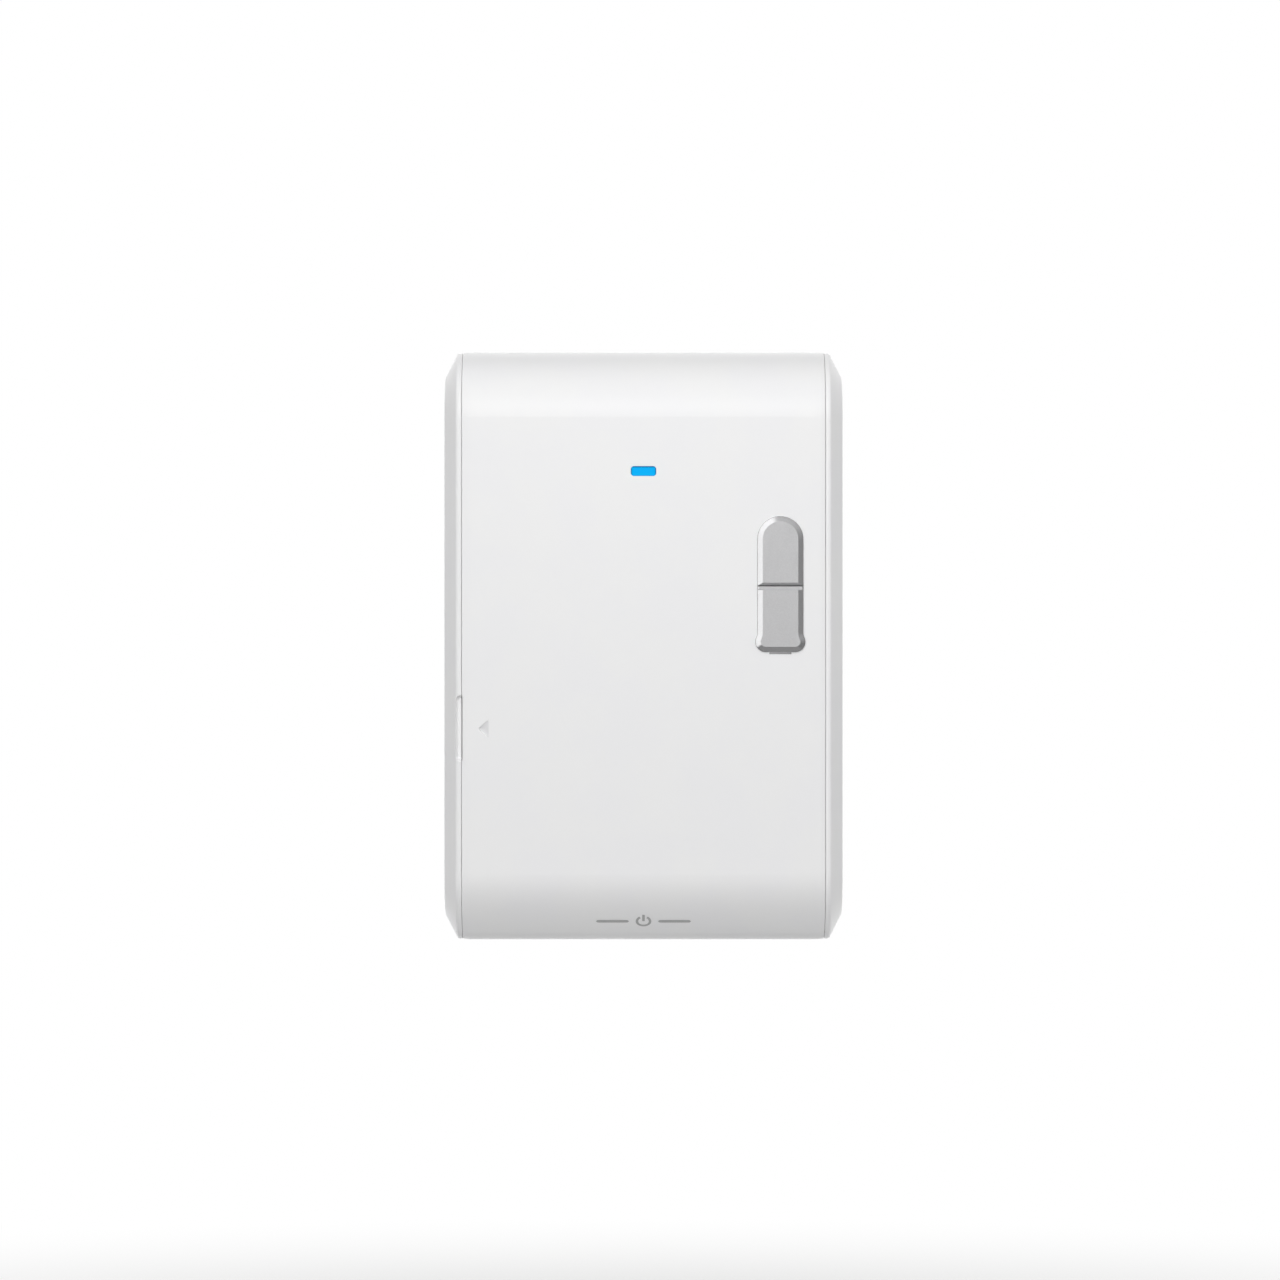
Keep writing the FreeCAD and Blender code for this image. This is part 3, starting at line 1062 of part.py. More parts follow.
def motor_leads():
    """Two leads from the motor's tail, over its top, through the deck and down to the board's plug."""
    x, z = motor_axle
    tail, over = -MOTOR_TAIL + 0.6, motor_lead_z
    left = [(x - 3.6, tail, z + 0.2), (x - 3.6, tail, z + 8.2), (x - 2.6, tail - 5.0, over),
            (x - 1.4, deck_front_y - 3.0, over), (x + 1.0, gearbox_front_y - 1.2, over - 3.4),
            (x + 6.4, plug_y - 0.6, z + 2.6), (plug_left_x - 3.4, plug_y, motor_header_z - 1.0),
            (plug_left_x, plug_y, motor_header_z - 1.0)]
    right = [(x + 3.6, tail, z + 0.2), (x + 3.6, tail, z + 8.0), (x + 3.4, tail - 4.6, over - 0.6),
             (x + 3.9, deck_front_y - 3.0, over - 0.2), (x + 5.6, gearbox_front_y - 1.4, over - 1.8),
             (x + 10.2, plug_y - 0.6, z + 5.8), (plug_left_x - 3.0, plug_y, motor_header_z + 1.0),
             (plug_left_x, plug_y, motor_header_z + 1.0)]
    return Part.makeCompound([lead(left), lead(right)])


def battery_leads():
    """Two leads from the contacts' tabs, up beside the bay and across the gearbox cover to the board's plug."""
    tab_x = -BAY_HALF_LENGTH - BAY_WALL - 1.3
    start_y = tab_y - CONTACT_THICKNESS
    over = gearbox_front_y - 2.0
    negative = [(tab_x, start_y, negative_tab_z), (tab_x, start_y - 4.2, negative_tab_z),
                (tab_x - 0.6, over, negative_tab_z + 6.5), (tab_x + 0.6, over - 0.2, negative_tab_z + 16.5),
                (tab_x + 5.2, over, negative_tab_z + 26.0), (tab_x + 12.4, over, battery_header_z - 5.4),
                (plug_left_x - 3.4, plug_y, battery_header_z - 1.0), (plug_left_x, plug_y, battery_header_z - 1.0)]
    positive = [(tab_x, start_y, positive_tab_z), (tab_x, start_y - 4.0, positive_tab_z),
                (tab_x - 2.4, over + 0.8, positive_tab_z + 7.0), (tab_x - 3.0, over, positive_tab_z + 18.0),
                (tab_x - 1.8, over - 0.2, positive_tab_z + 28.5), (tab_x + 3.4, over, positive_tab_z + 39.0),
                (tab_x + 10.6, over, battery_header_z - 1.8), (plug_left_x - 3.6, plug_y, battery_header_z + 1.0),
                (plug_left_x, plug_y, battery_header_z + 1.0)]
    return Part.makeCompound([lead(negative), lead(positive)])


def write(name, shape):
    """Exports one node after a check that it is sound."""
    solids = shape.Solids
    if not solids or not all(s.isValid() and s.isClosed() and s.Volume > 0 for s in solids):
        raise ValueError(name + " is not a sound closed solid")
    shape = solids[0] if len(solids) == 1 else Part.makeCompound(solids)
    shape.exportStep(os.path.join("parts", name + ".step"))


def build():
    os.makedirs("parts", exist_ok=True)
    nodes = {
        "main_housing": main_housing(),
        "chassis": chassis(),
        "battery_frame": battery_frame(),
        "front_cover": front_cover(),
        "rear_cover": rear_cover(),
        "wall_pads": wall_pads(),
        "light_pipe": light_pipe(),
        "upper_key": key("upper"),
        "lower_key": key("lower"),
        "key_guide": key_guide(),
        "main_board": main_board(),
        "radio_module": radio_module(),
        "radio_shield": radio_shield(),
        "status_led": status_led(),
        "upper_tact_switch": tact_switch("upper"),
        "lower_tact_switch": tact_switch("lower"),
        "upper_tact_plunger": tact_plunger("upper"),
        "lower_tact_plunger": tact_plunger("lower"),
        "driver_chip": driver_chip(),
        "reservoir_capacitor": reservoir_capacitor(),
        "motor_header": plug_header(motor_header_z),
        "battery_header": plug_header(battery_header_z),
        "motor_plug": wire_plug(motor_header_z),
        "battery_plug": wire_plug(battery_header_z),
        "motor_leads": motor_leads(),
        "battery_leads": battery_leads(),
        "motor_can": motor_can(),
        "motor_end_cap": motor_end_cap(),
        "motor_rotor": motor_rotor(),
        "motor_shaft": motor_shaft(),
        "motor_pinion": motor_pinion(),
        "motor_bracket": motor_bracket(),
        "first_gear": first_gear(),
        "second_gear": second_gear(),
        "output_gear": output_gear(),
        "gear_pins": gear_pins(),
        "gearbox_cover": gearbox_cover(),
        "carriage": carriage(),
        "switch_yoke": switch_yoke(),
        "guide_rods": guide_rods(),
        "battery_upper": cell(1, upper_cell_z),
        "battery_lower": cell(-1, lower_cell_z),
        "bridge_contact": contact_plate(1, lower_cell_z - 5.5, upper_cell_z + 5.5, upper_cell_z),
        "positive_contact": contact_plate(-1, lower_cell_z - 5.5, lower_cell_z + 5.5, lower_cell_z, positive_tab_z),
        "negative_contact": contact_plate(-1, upper_cell_z - 5.5, upper_cell_z + 5.5, None, negative_tab_z),
        "bridge_spring": contact_spring(1, lower_cell_z),
        "negative_spring": contact_spring(-1, upper_cell_z),
        "rear_cover_screws": Part.makeCompound([screw(s, -SCREW_HEAD_HEIGHT - 0.1, rear_cover_y - 6.0, -1)
                                                for s in rear_screw_spots]),
        "chassis_screws": Part.makeCompound([screw(s, deck_back_y, deck_front_y - 4.0, -1)
                                             for s in chassis_screw_spots]),
        "battery_frame_screws": Part.makeCompound([screw(s, deck_front_y - EAR_THICKNESS, deck_back_y + 2.5)
                                                   for s in frame_screw_spots]),
        "gearbox_screws": Part.makeCompound([screw(s, gearbox_front_y - 0.6, gearbox_back_y + 5.0)
                                             for s in gearbox_screw_spots]),
        "board_screws": Part.makeCompound([screw(s, board_front_y, board_back_y + 4.0)
                                           for s in board_screw_spots]),
        "key_guide_screws": Part.makeCompound([screw(s, guide_front_y, board_back_y + 4.0)
                                               for s in guide_screw_spots]),
        "motor_bracket_screws": Part.makeCompound([small_screw(s, motor_front_y - 0.8, motor_front_y + 3.2)
                                                   for s in motor_bracket_spots]),
        "yoke_screws": Part.makeCompound([screw(s, carriage_back_y + 2.0, carriage_front_y + 0.3, -1)
                                          for s in yoke_screw_spots()]),
    }
    for name, shape in nodes.items():
        write(name, shape)


build()
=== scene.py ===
"""Finishes, small parts and studio of a battery-powered wall-switch operator.

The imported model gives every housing, key, gear and board its shape. This file paints each of them, adds the
pieces that are too fine for the model (wound springs, small parts on the circuit board, the printed mark), and
sets a pale studio around the object. Units are metres; +X right, +Z up, front towards -Y.
"""

import math

import bpy
import numpy as np
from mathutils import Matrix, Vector


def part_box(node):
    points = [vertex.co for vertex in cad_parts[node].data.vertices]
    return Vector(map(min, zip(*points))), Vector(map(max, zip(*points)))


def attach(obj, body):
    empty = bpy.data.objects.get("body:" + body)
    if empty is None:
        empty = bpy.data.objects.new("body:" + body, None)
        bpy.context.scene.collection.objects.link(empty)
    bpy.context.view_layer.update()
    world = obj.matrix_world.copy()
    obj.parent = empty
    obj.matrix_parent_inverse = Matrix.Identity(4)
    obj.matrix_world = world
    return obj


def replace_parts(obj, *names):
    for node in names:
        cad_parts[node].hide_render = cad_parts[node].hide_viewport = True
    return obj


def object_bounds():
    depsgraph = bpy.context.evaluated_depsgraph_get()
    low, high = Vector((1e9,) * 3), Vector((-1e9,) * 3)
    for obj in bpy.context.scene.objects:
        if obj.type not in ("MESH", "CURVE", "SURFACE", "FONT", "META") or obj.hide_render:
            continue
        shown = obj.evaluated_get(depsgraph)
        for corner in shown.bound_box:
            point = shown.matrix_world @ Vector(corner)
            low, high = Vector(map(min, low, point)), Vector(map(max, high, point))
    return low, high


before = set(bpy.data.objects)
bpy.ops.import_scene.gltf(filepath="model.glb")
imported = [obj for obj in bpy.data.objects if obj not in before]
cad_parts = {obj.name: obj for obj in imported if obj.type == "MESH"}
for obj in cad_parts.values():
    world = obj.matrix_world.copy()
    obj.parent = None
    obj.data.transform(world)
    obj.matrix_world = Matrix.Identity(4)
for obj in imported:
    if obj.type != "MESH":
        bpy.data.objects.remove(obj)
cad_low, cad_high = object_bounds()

MM = 0.001

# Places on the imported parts, in mm
LIGHT_Z, LIGHT_HALF_WIDTH, LIGHT_HALF_HEIGHT = 36.3, 2.6, 1.0
ARROW_TIP_X, ARROW_BASE_X, ARROW_Z, ARROW_HALF = -34.25, -32.15, -17.1, 2.0
ARROW_DEEPEST_Y = -31.0
ROUND_RADIUS, ROUND_Y, ROUND_Z = 14.0, -19.0, -47.5
CELL_RADIUS = 7.25


# ---------------------------------------------------------------- nodes and materials

def linear(code):
    """Scene-linear RGBA of an sRGB hex value: a channel is c / 12.92 up to 0.04045, else ((c + 0.055) /
    1.055)^2.4."""
    channels = np.array([int(code[i:i + 2], 16) for i in (1, 3, 5)]) / 255.0
    channels = np.where(channels <= 0.04045, channels / 12.92, ((channels + 0.055) / 1.055) ** 2.4)
    return (*channels.tolist(), 1.0)


def add(tree, kind, inputs=None, **settings):
    """Adds one node. Settings are its own properties; inputs are values, or the outputs that feed it."""
    node = tree.nodes.new("ShaderNode" + kind)
    for name, value in settings.items():
        setattr(node, name, value)
    for name, value in (inputs or {}).items():
        if isinstance(value, bpy.types.NodeSocket):
            tree.links.new(value, node.inputs[name])
        else:
            node.inputs[name].default_value = value
    return node


class Finish:
    """A material with its Principled shader, and where on the object it is, in millimetres."""

    def __init__(self, name, **shader):
        self.material = bpy.data.materials.new(name)
        self.material.use_nodes = True
        self.tree = self.material.node_tree
        self.tree.nodes.clear()
        place = add(self.tree, "TexCoord").outputs["Object"]
        self.mm = add(self.tree, "VectorMath", {0: place, "Scale": 1000.0}, operation="SCALE").outputs[0]
        self.shader = add(self.tree, "BsdfPrincipled", {k.replace("_", " "): v for k, v in shader.items()})
        add(self.tree, "OutputMaterial", {"Surface": self.shader.outputs[0]})
        axes = add(self.tree, "SeparateXYZ", {0: self.mm})
        self.x, self.y, self.z = axes.outputs

    def set(self, **inputs):
        for name, value in inputs.items():
            self.tree.links.new(value, self.shader.inputs[name.replace("_", " ")])
        return self

    def math(self, operation, a, b=0.0, clamp=False):
        return add(self.tree, "Math", {0: a, 1: b}, operation=operation, use_clamp=clamp).outputs[0]

    def cloud(self, size, detail=2.0, stretch=(1, 1, 1), rough=0.5):
        """Soft noise from 0 to 1 whose blotches are about size mm across, longer along an axis that stretch
        enlarges."""
        where = self.mm
        if stretch != (1, 1, 1):
            squeeze = [1 / s for s in stretch]
            where = add(self.tree, "VectorMath", {0: where, 1: squeeze}, operation="MULTIPLY").outputs[0]
        return add(self.tree, "TexNoise", {"Vector": where, "Scale": 1 / size, "Detail": detail,
                                           "Roughness": rough}).outputs[0]

    def between(self, value, low, high, to_low=0.0, to_high=1.0, soft=True):
        """Value's run from low to high turned into a run from to_low to to_high, and held beyond it."""
        return add(self.tree, "MapRange", {"Value": value, "From Min": low, "From Max": high, "To Min": to_low,
                                           "To Max": to_high},
                   interpolation_type="SMOOTHSTEP" if soft else "LINEAR").outputs[0]

    def blend(self, share, first, second):
        """First colour where share is 0 and second where it is 1."""
        first, second = (linear(c) if isinstance(c, str) else c for c in (first, second))
        return add(self.tree, "Mix", {0: share, 6: first, 7: second}, data_type="RGBA").outputs[2]

    def relief(self, height, depth, under=None):
        """Bump of a height field from 0 to 1 that stands for depth mm, over an earlier bump."""
        inputs = {"Height": height, "Distance": depth * MM, "Strength": 1.0}
        if under is not None:
            inputs["Normal"] = under
        return add(self.tree, "Bump", inputs).outputs[0]


def moulded(name, main, shade, roughness, ior, grain, depth, cloud=7.0, **more):
    """Moulded plastic: colour drifts between two near shades, and the mould's grain shows as fine bump and gloss."""
    finish = Finish(name, IOR=ior, **more)
    drift = finish.between(finish.cloud(cloud, 3.0), 0.35, 0.65)
    pits = finish.cloud(grain, 2.0, rough=0.6)
    finish.set(Base_Color=finish.blend(drift, main, shade),
               Roughness=finish.between(pits, 0.3, 0.7, roughness - 0.05, roughness + 0.05),
               Normal=finish.relief(pits, depth))
    return finish


def metal(name, main, shade, roughness, scratch=(0.25, 0.25, 0.25), depth=0.0006, blotch=3.0, **more):
    """Bare or plated metal: a hair-fine scratch whose three sizes in mm give its direction, and faint blotches."""
    finish = Finish(name, Metallic=1.0, **more)
    stretch = tuple(s / min(scratch) for s in scratch)
    lines = finish.cloud(min(scratch), 2.0, stretch)
    patches = finish.cloud(blotch, 2.0)
    finish.set(Base_Color=finish.blend(finish.between(patches, 0.35, 0.7), main, shade),
               Roughness=finish.between(lines, 0.3, 0.7, roughness - 0.06, roughness + 0.08),
               Normal=finish.relief(lines, depth))
    return finish


# White ABS, injection moulded in a spark-eroded tool: the eye gets an even, milky, matte white with a grain like
# fine paper. The real grain is 0.05 to 0.1 mm; it is drawn at 0.3 mm so that it shows at all.
WHITE_ABS = ("#F4F4F4", "#F3F3F4", 0.4, 1.54, 0.3, 0.004, 12.0)
white_abs = moulded("white_abs_spark_eroded", *WHITE_ABS)


def cover_abs():
    """The same white ABS on the front cover, with painted shade on the floor of the sunk release arrow, drawn a
    shade greyer where the dent lies in shade: a point is in the arrow where its height off the arrow's axis is less
    than its way from the tip times the arrow's slope."""
    length = ARROW_BASE_X - ARROW_TIP_X
    finish = moulded("white_abs_cover_with_painted_arrow_shade", *WHITE_ABS)
    along = finish.math("SUBTRACT", finish.x, ARROW_TIP_X)
    off = finish.math("ABSOLUTE", finish.math("SUBTRACT", finish.z, ARROW_Z))
    arrow_shade = finish.math("SUBTRACT", finish.math("MULTIPLY", along, ARROW_HALF / length), off)
    arrow_shade = finish.math("MULTIPLY", finish.between(arrow_shade, -0.05, 0.1),
                         finish.between(along, length + 0.05, length - 0.05))
    arrow_shade = finish.math("MULTIPLY", arrow_shade, finish.between(finish.y, ARROW_DEEPEST_Y, ARROW_DEEPEST_Y - 0.5))
    plain = finish.shader.inputs["Base Color"].links[0].from_socket
    # painted shade: the floor of the arrow's dent is drawn a shade greyer than the panel round it
    return finish.set(Base_Color=finish.blend(arrow_shade, plain, "#EBEBEC"))


# Natural ABS of the inner frames, moulded in a plain tool: a little creamier and duller, with faint flow clouds.
inner_abs = moulded("natural_abs_plain_tool", "#ECECE8", "#EAEAE5", 0.5, 1.54, 0.5, 0.004, cloud=14.0)

# Natural acetal of the gears: cut-smooth, waxy and slightly see-through at the edges, so highlights stay soft.
gear_acetal = moulded("natural_acetal_gear", "#E9E9E2", "#E5E5DD", 0.34, 1.48, 0.35, 0.002, cloud=2.5,
                      Subsurface_Weight=0.15, Subsurface_Radius=(0.0012, 0.0011, 0.0009))

# Dark grey acetal of the carriage, moulded: slippery-looking, with faint clouds from the gate.
carriage_acetal = moulded("dark_acetal_carriage", "#4B4E53", "#47494E", 0.38, 1.48, 0.4, 0.003, cloud=4.0)

# Light grey glass-filled nylon of the yoke: drier, with a grain and a mottle from the fibres under its skin.
yoke_nylon = moulded("glass_filled_nylon_yoke", "#B9BBBE", "#B2B4B8", 0.52, 1.53, 0.25, 0.008, cloud=1.6)

# Ivory nylon of plugs and headers: thin-walled mouldings with a warm, semi-gloss look.
ivory_nylon = moulded("ivory_nylon_connector", "#E6DFC8", "#DDD4B8", 0.36, 1.53, 0.3, 0.002, cloud=2.0)

# Black moulded plastic of switches and the motor's end cap: fine satin grain.
black_plastic = moulded("black_plastic_moulded", "#1C1C1D", "#232324", 0.44, 1.5, 0.2, 0.004, cloud=2.0)

# Red silicone of the switch plungers: soft, slightly dusty.
red_silicone = moulded("red_silicone_plunger", "#B5231B", "#A31C16", 0.55, 1.43, 0.2, 0.004, cloud=1.0)

# Silicone insulation of the leads: a drawn, slightly waxy sleeve.
black_lead = moulded("black_silicone_insulation", "#1B1B1C", "#262627", 0.42, 1.43, 0.3, 0.003, cloud=2.0)
red_lead = moulded("red_silicone_insulation", "#AE1F18", "#9B1913", 0.42, 1.43, 0.3, 0.003, cloud=2.0)

# Tin-plated sheet steel: bright, with rolling lines and a slight bloom.
tinned_steel = metal("tin_plated_sheet", "#C9C9C4", "#B8B8B4", 0.3, (0.15, 0.15, 1.8))

# Nickel-plated motor can: drawn tube, so the lines run along its length.
motor_steel = metal("nickel_plated_can", "#BDBDB8", "#AEAEA9", 0.26, (0.12, 1.6, 0.12))

# Ground and polished steel of rods and pins: nearly a mirror, with hair lines round the bar.
polished_steel = metal("ground_steel_pin", "#C9CACC", "#BDBEC1", 0.14, (0.6, 0.1, 0.1), 0.0003)

# Zinc-plated screw steel: bluish bright with faint passivation patches.
screw_steel = metal("zinc_plated_screw", "#B4B8BD", "#A3A6A6", 0.3, (0.2, 0.2, 0.2), 0.0008, blotch=0.9)

# Brass of the pinion, turned: warm yellow, with fine rings round the axle.
turned_brass = metal("turned_brass", "#D2AC5C", "#BC9448", 0.24, (0.5, 0.08, 0.5), 0.0005)

# Spring steel of contacts and coils, stamped or wound and nickel plated: warmer than tin, with fine draw lines.
nickel_contact = metal("nickel_plated_spring_steel", "#C6C2B6", "#B5B1A6", 0.24, (0.1, 0.1, 1.0), 0.0005)

# Wound rotor: enamelled copper over a laminated core, so rings across the axle show.
rotor_core = metal("enamelled_copper_winding", "#8E4A26", "#6E3419", 0.36, (1.5, 0.14, 1.5), 0.004)


def painted_keys():
    """ABS keys sprayed in satin silver-grey lacquer: metal flake makes the flats mid grey and the bevels flash
    white on the lit side and go dark on the other. Flake is 0.03 mm and drawn at 0.14 mm."""
    finish = Finish("satin_silver_lacquer", Metallic=0.72)
    flake = add(finish.tree, "TexVoronoi", {"Vector": finish.mm, "Scale": 1 / 0.14}).outputs["Color"]
    glint = add(finish.tree, "SeparateColor", {0: flake}).outputs[0]
    peel = finish.cloud(0.8, 2.0)
    finish.set(Base_Color=finish.blend(finish.between(glint, 0, 1, soft=False), "#DADADB", "#E2E2E3"),
               Roughness=finish.between(peel, 0.3, 0.7, 0.17, 0.22),
               Normal=finish.relief(glint, 0.0003, finish.relief(peel, 0.001)))
    return finish


def light_window():
    """Frosted polycarbonate light pipe, lit from behind: even blue, with painted shade in a darker rim round its
    edge, widest along the top, where the walls of its recess shade it."""
    low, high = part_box("light_pipe")
    middle = (low + high) / 2 / MM
    finish = Finish("frosted_polycarbonate_lit_blue", Roughness=0.45, IOR=1.585, Specular_IOR_Level=0.04,
                    Emission_Strength=0.93)
    across = finish.math("DIVIDE", finish.math("SUBTRACT", finish.x, middle.x), LIGHT_HALF_WIDTH)
    across = finish.math("ABSOLUTE", across)
    up = finish.math("DIVIDE", finish.math("SUBTRACT", finish.z, LIGHT_Z), LIGHT_HALF_HEIGHT)
    # painted shade: a darker band round the window where its recess walls shade it, widest under the top lip
    recess_shade = finish.math("MAXIMUM", finish.between(across, 0.86, 1.0), finish.between(up, 0.55, 1.0))
    recess_shade = finish.math("MAXIMUM", recess_shade, finish.between(finish.math("MULTIPLY", up, -1.0), 0.8, 1.0, 0.0, 0.5))
    frost = finish.cloud(0.25, 2.0)
    finish.set(Base_Color=finish.blend(recess_shade, "#03263A", "#06324A"),
               Emission_Color=finish.blend(recess_shade, "#00B4FC", "#00649C"),
               Normal=finish.relief(frost, 0.003))
    return finish


def solder_mask(name, main, trace, pad):
    """Circuit board: glass laminate under glossy solder mask. Copper lines lift the mask into paler tracks that run
    in steps of 1.27 mm, with tinned dots where they change side."""
    finish = Finish(name, Roughness=0.3, IOR=1.5, Coat_Weight=0.3, Coat_Roughness=0.12)

    def tracks(along, across, seed):
        """Lines 0.3 mm wide, 1.27 mm apart across, each kept or dropped in runs of about 6 mm along."""
        lane = finish.math("DIVIDE", across, 1.27)
        off = finish.math("ABSOLUTE", finish.math("SUBTRACT", finish.math("FRACT", lane), 0.5))
        cell = add(finish.tree, "CombineXYZ", {0: finish.math("FLOOR", lane), 1: finish.math("DIVIDE", along, 6.0),
                                               2: seed})
        run = add(finish.tree, "TexNoise", {"Vector": cell.outputs[0], "Scale": 0.9, "Detail": 0.0}).outputs[0]
        return finish.math("MULTIPLY", finish.between(off, 0.15, 0.10, soft=False),
                           finish.between(run, 0.49, 0.51, soft=False))

    lines = finish.math("MAXIMUM", tracks(finish.x, finish.z, 3.7), tracks(finish.z, finish.x, 8.2))
    dots = add(finish.tree, "TexVoronoi", {"Vector": finish.mm, "Scale": 1 / 3.4}).outputs["Distance"]
    via = finish.between(dots, 0.11, 0.09, soft=False)
    colour = finish.blend(lines, finish.blend(finish.between(finish.cloud(4.0), 0.3, 0.7), main[0], main[1]), trace)
    finish.set(Base_Color=finish.blend(via, colour, pad),
               Metallic=finish.math("MULTIPLY", via, 0.8),
               Normal=finish.relief(finish.math("MAXIMUM", lines, via), 0.035))
    return finish


def printed_cell(name, positive_side):
    """Dry cell in shrink film: dark body with a copper-coloured band at the positive end, a pale hoop between them,
    and bare nickelled steel where the film stops short of each end."""
    low, high = (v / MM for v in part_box(name))
    axis_y, axis_z = (high.y + low.y) / 2, (high.z + low.z) / 2
    finish = Finish("shrink_film_" + name, Coat_Weight=0.4, Coat_Roughness=0.12)
    end = high.x if positive_side > 0 else low.x
    along = finish.math("MULTIPLY", finish.math("SUBTRACT", end, finish.x), positive_side)
    dy, dz = finish.math("SUBTRACT", finish.y, axis_y), finish.math("SUBTRACT", finish.z, axis_z)
    radius = finish.math("SQRT", finish.math("ADD", finish.math("MULTIPLY", dy, dy), finish.math("MULTIPLY", dz, dz)))
    length = high.x - low.x
    film = finish.math("MULTIPLY", finish.between(radius, 6.4, 6.6, soft=False),
                       finish.math("MULTIPLY", finish.between(along, 1.5, 1.7, soft=False),
                                   finish.between(along, length - 0.7, length - 0.9, soft=False)))
    band = finish.between(along, 14.1, 13.9, soft=False)
    hoop = finish.math("MULTIPLY", finish.between(along, 13.9, 14.1, soft=False),
                       finish.between(along, 15.1, 14.9, soft=False))
    tail = finish.math("MULTIPLY", finish.between(along, length - 4.2, length - 4.0, soft=False), 0.7)
    # a plus sign 3.2 mm across in the band, and a bar at the other end, both facing the front
    around = finish.math("MULTIPLY", finish.math("ARCTAN2", dz, finish.math("MULTIPLY", dy, -1.0)), CELL_RADIUS)
    off = finish.math("ABSOLUTE", finish.math("SUBTRACT", along, 8.0))
    side = finish.math("ABSOLUTE", around)
    cross = finish.math("MAXIMUM",
                        finish.math("MULTIPLY", finish.between(off, 1.7, 1.6), finish.between(side, 0.42, 0.34)),
                        finish.math("MULTIPLY", finish.between(side, 1.7, 1.6), finish.between(off, 0.42, 0.34)))
    far = finish.math("ABSOLUTE", finish.math("SUBTRACT", along, length - 6.5))
    bar = finish.math("MULTIPLY", finish.between(side, 1.7, 1.6), finish.between(far, 0.42, 0.34))
    body = finish.blend(finish.between(finish.cloud(6.0), 0.3, 0.7), "#24282E", "#2A2F36")
    colour = finish.blend(band, body, "#B97B4A")
    colour = finish.blend(hoop, colour, "#D9D6CC")
    colour = finish.blend(tail, colour, "#6E757E")
    colour = finish.blend(finish.math("MAXIMUM", cross, bar), colour, "#F1EFE8")
    finish.set(Base_Color=finish.blend(film, "#C2C0B8", colour),
               Metallic=finish.between(film, 0, 1, 1.0, 0.25, soft=False),
               Roughness=finish.between(finish.cloud(0.5), 0.3, 0.7, 0.24, 0.32),
               Normal=finish.relief(film, 0.08, finish.relief(finish.cloud(3.0, 2.0, (4, 1, 1)), 0.02)))
    return finish


def foam_rubber():
    """Closed-cell foam rubber, cut from sheet: dull charcoal with open pores 0.3 mm across, whose insides are painted
    darker as shade.
    """
    finish = Finish("closed_cell_foam_rubber", IOR=1.45, Specular_IOR_Level=0.25)
    pores = add(finish.tree, "TexVoronoi", {"Vector": finish.mm, "Scale": 1 / 0.35}).outputs["Distance"]
    wall = finish.between(pores, 0.1, 0.55)
    # painted shade: the pores are drawn darker than the walls between them
    finish.set(Base_Color=finish.blend(wall, "#2A2A2C", "#47474A"), Roughness=finish.between(wall, 0, 1, 0.9, 0.7),
               Normal=finish.relief(wall, 0.06))
    return finish


def aluminium_can():
    """Electrolytic capacitor: bare aluminium top with a scored cross, in a printed dark sleeve with a pale stripe."""
    low, high = (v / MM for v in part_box("reservoir_capacitor"))
    finish = Finish("sleeved_aluminium_can")
    middle = (low + high) / 2
    top = finish.between(finish.y, low.y + 0.35, low.y + 0.25, soft=False)
    stripe = finish.between(finish.x, middle.x + 1.6, middle.x + 1.7, soft=False)
    dx = finish.math("ABSOLUTE", finish.math("SUBTRACT", finish.x, middle.x))
    dz = finish.math("ABSOLUTE", finish.math("SUBTRACT", finish.z, middle.z))
    score = finish.between(finish.math("MINIMUM", dx, dz), 0.16, 0.08)
    finish.set(Base_Color=finish.blend(top, finish.blend(stripe, "#2B3340", "#B9BDC4"), "#D3D4D6"),
               Metallic=top, Roughness=finish.between(finish.cloud(0.3), 0.3, 0.7, 0.26, 0.36),
               Normal=finish.relief(finish.math("SUBTRACT", 1.0, finish.math("MULTIPLY", score, top)), 0.12))
    return finish


def epoxy_package():
    """Moulded epoxy chip: dull charcoal, with a round dimple near pin one."""
    low, high = (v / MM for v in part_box("driver_chip"))
    finish = Finish("moulded_epoxy_package", Roughness=0.6, IOR=1.55)
    spot = add(finish.tree, "CombineXYZ", {0: finish.x, 1: low.y, 2: finish.z}).outputs[0]
    away = add(finish.tree, "VectorMath", {0: spot, 1: (low.x + 1.3, low.y, high.z - 1.0)},
               operation="DISTANCE").outputs["Value"]
    dimple = finish.between(away, 0.32, 0.26)
    grit = finish.cloud(0.12, 1.0)
    finish.set(Base_Color=finish.blend(dimple, finish.blend(grit, "#242425", "#2E2E2F"), "#3C3C3D"),
               Normal=finish.relief(finish.math("SUBTRACT", 1.0, dimple), 0.05, finish.relief(grit, 0.004)))
    return finish


# Grey pad-printing ink: a thin flat film, as satin as the white under it.
print_ink = moulded("grey_pad_print_ink", "#B0B0B0", "#B5B5B5", 0.4, 1.5, 0.2, 0.002, cloud=1.2)

# Small board parts: fired ceramic, dull brown for capacitors and glazed black for resistors, and solder that has
# flowed bright over their ends.
ceramic = moulded("sintered_ceramic_chip", "#8A6F54", "#7B6249", 0.5, 1.6, 0.1, 0.003, cloud=0.8)
resistor_black = moulded("glazed_resistor", "#1B1D20", "#24272B", 0.3, 1.5, 0.1, 0.002, cloud=0.8)
solder = metal("reflowed_solder", "#C6C8CA", "#B3B5B8", 0.22, (0.2, 0.2, 0.2), 0.004, blotch=0.5)


# ---------------------------------------------------------------- surfaces

def grid_faces(rows, columns, wrap=False):
    """Quads between neighbouring rows and columns of a grid of points; wrap joins the last column to the first."""
    across = columns if wrap else columns - 1
    r, c = np.meshgrid(np.arange(rows - 1), np.arange(across), indexing="ij")
    a, b = r * columns + c, r * columns + (c + 1) % columns
    return np.stack([a, b, b + columns, a + columns], axis=-1).reshape(-1, 4)


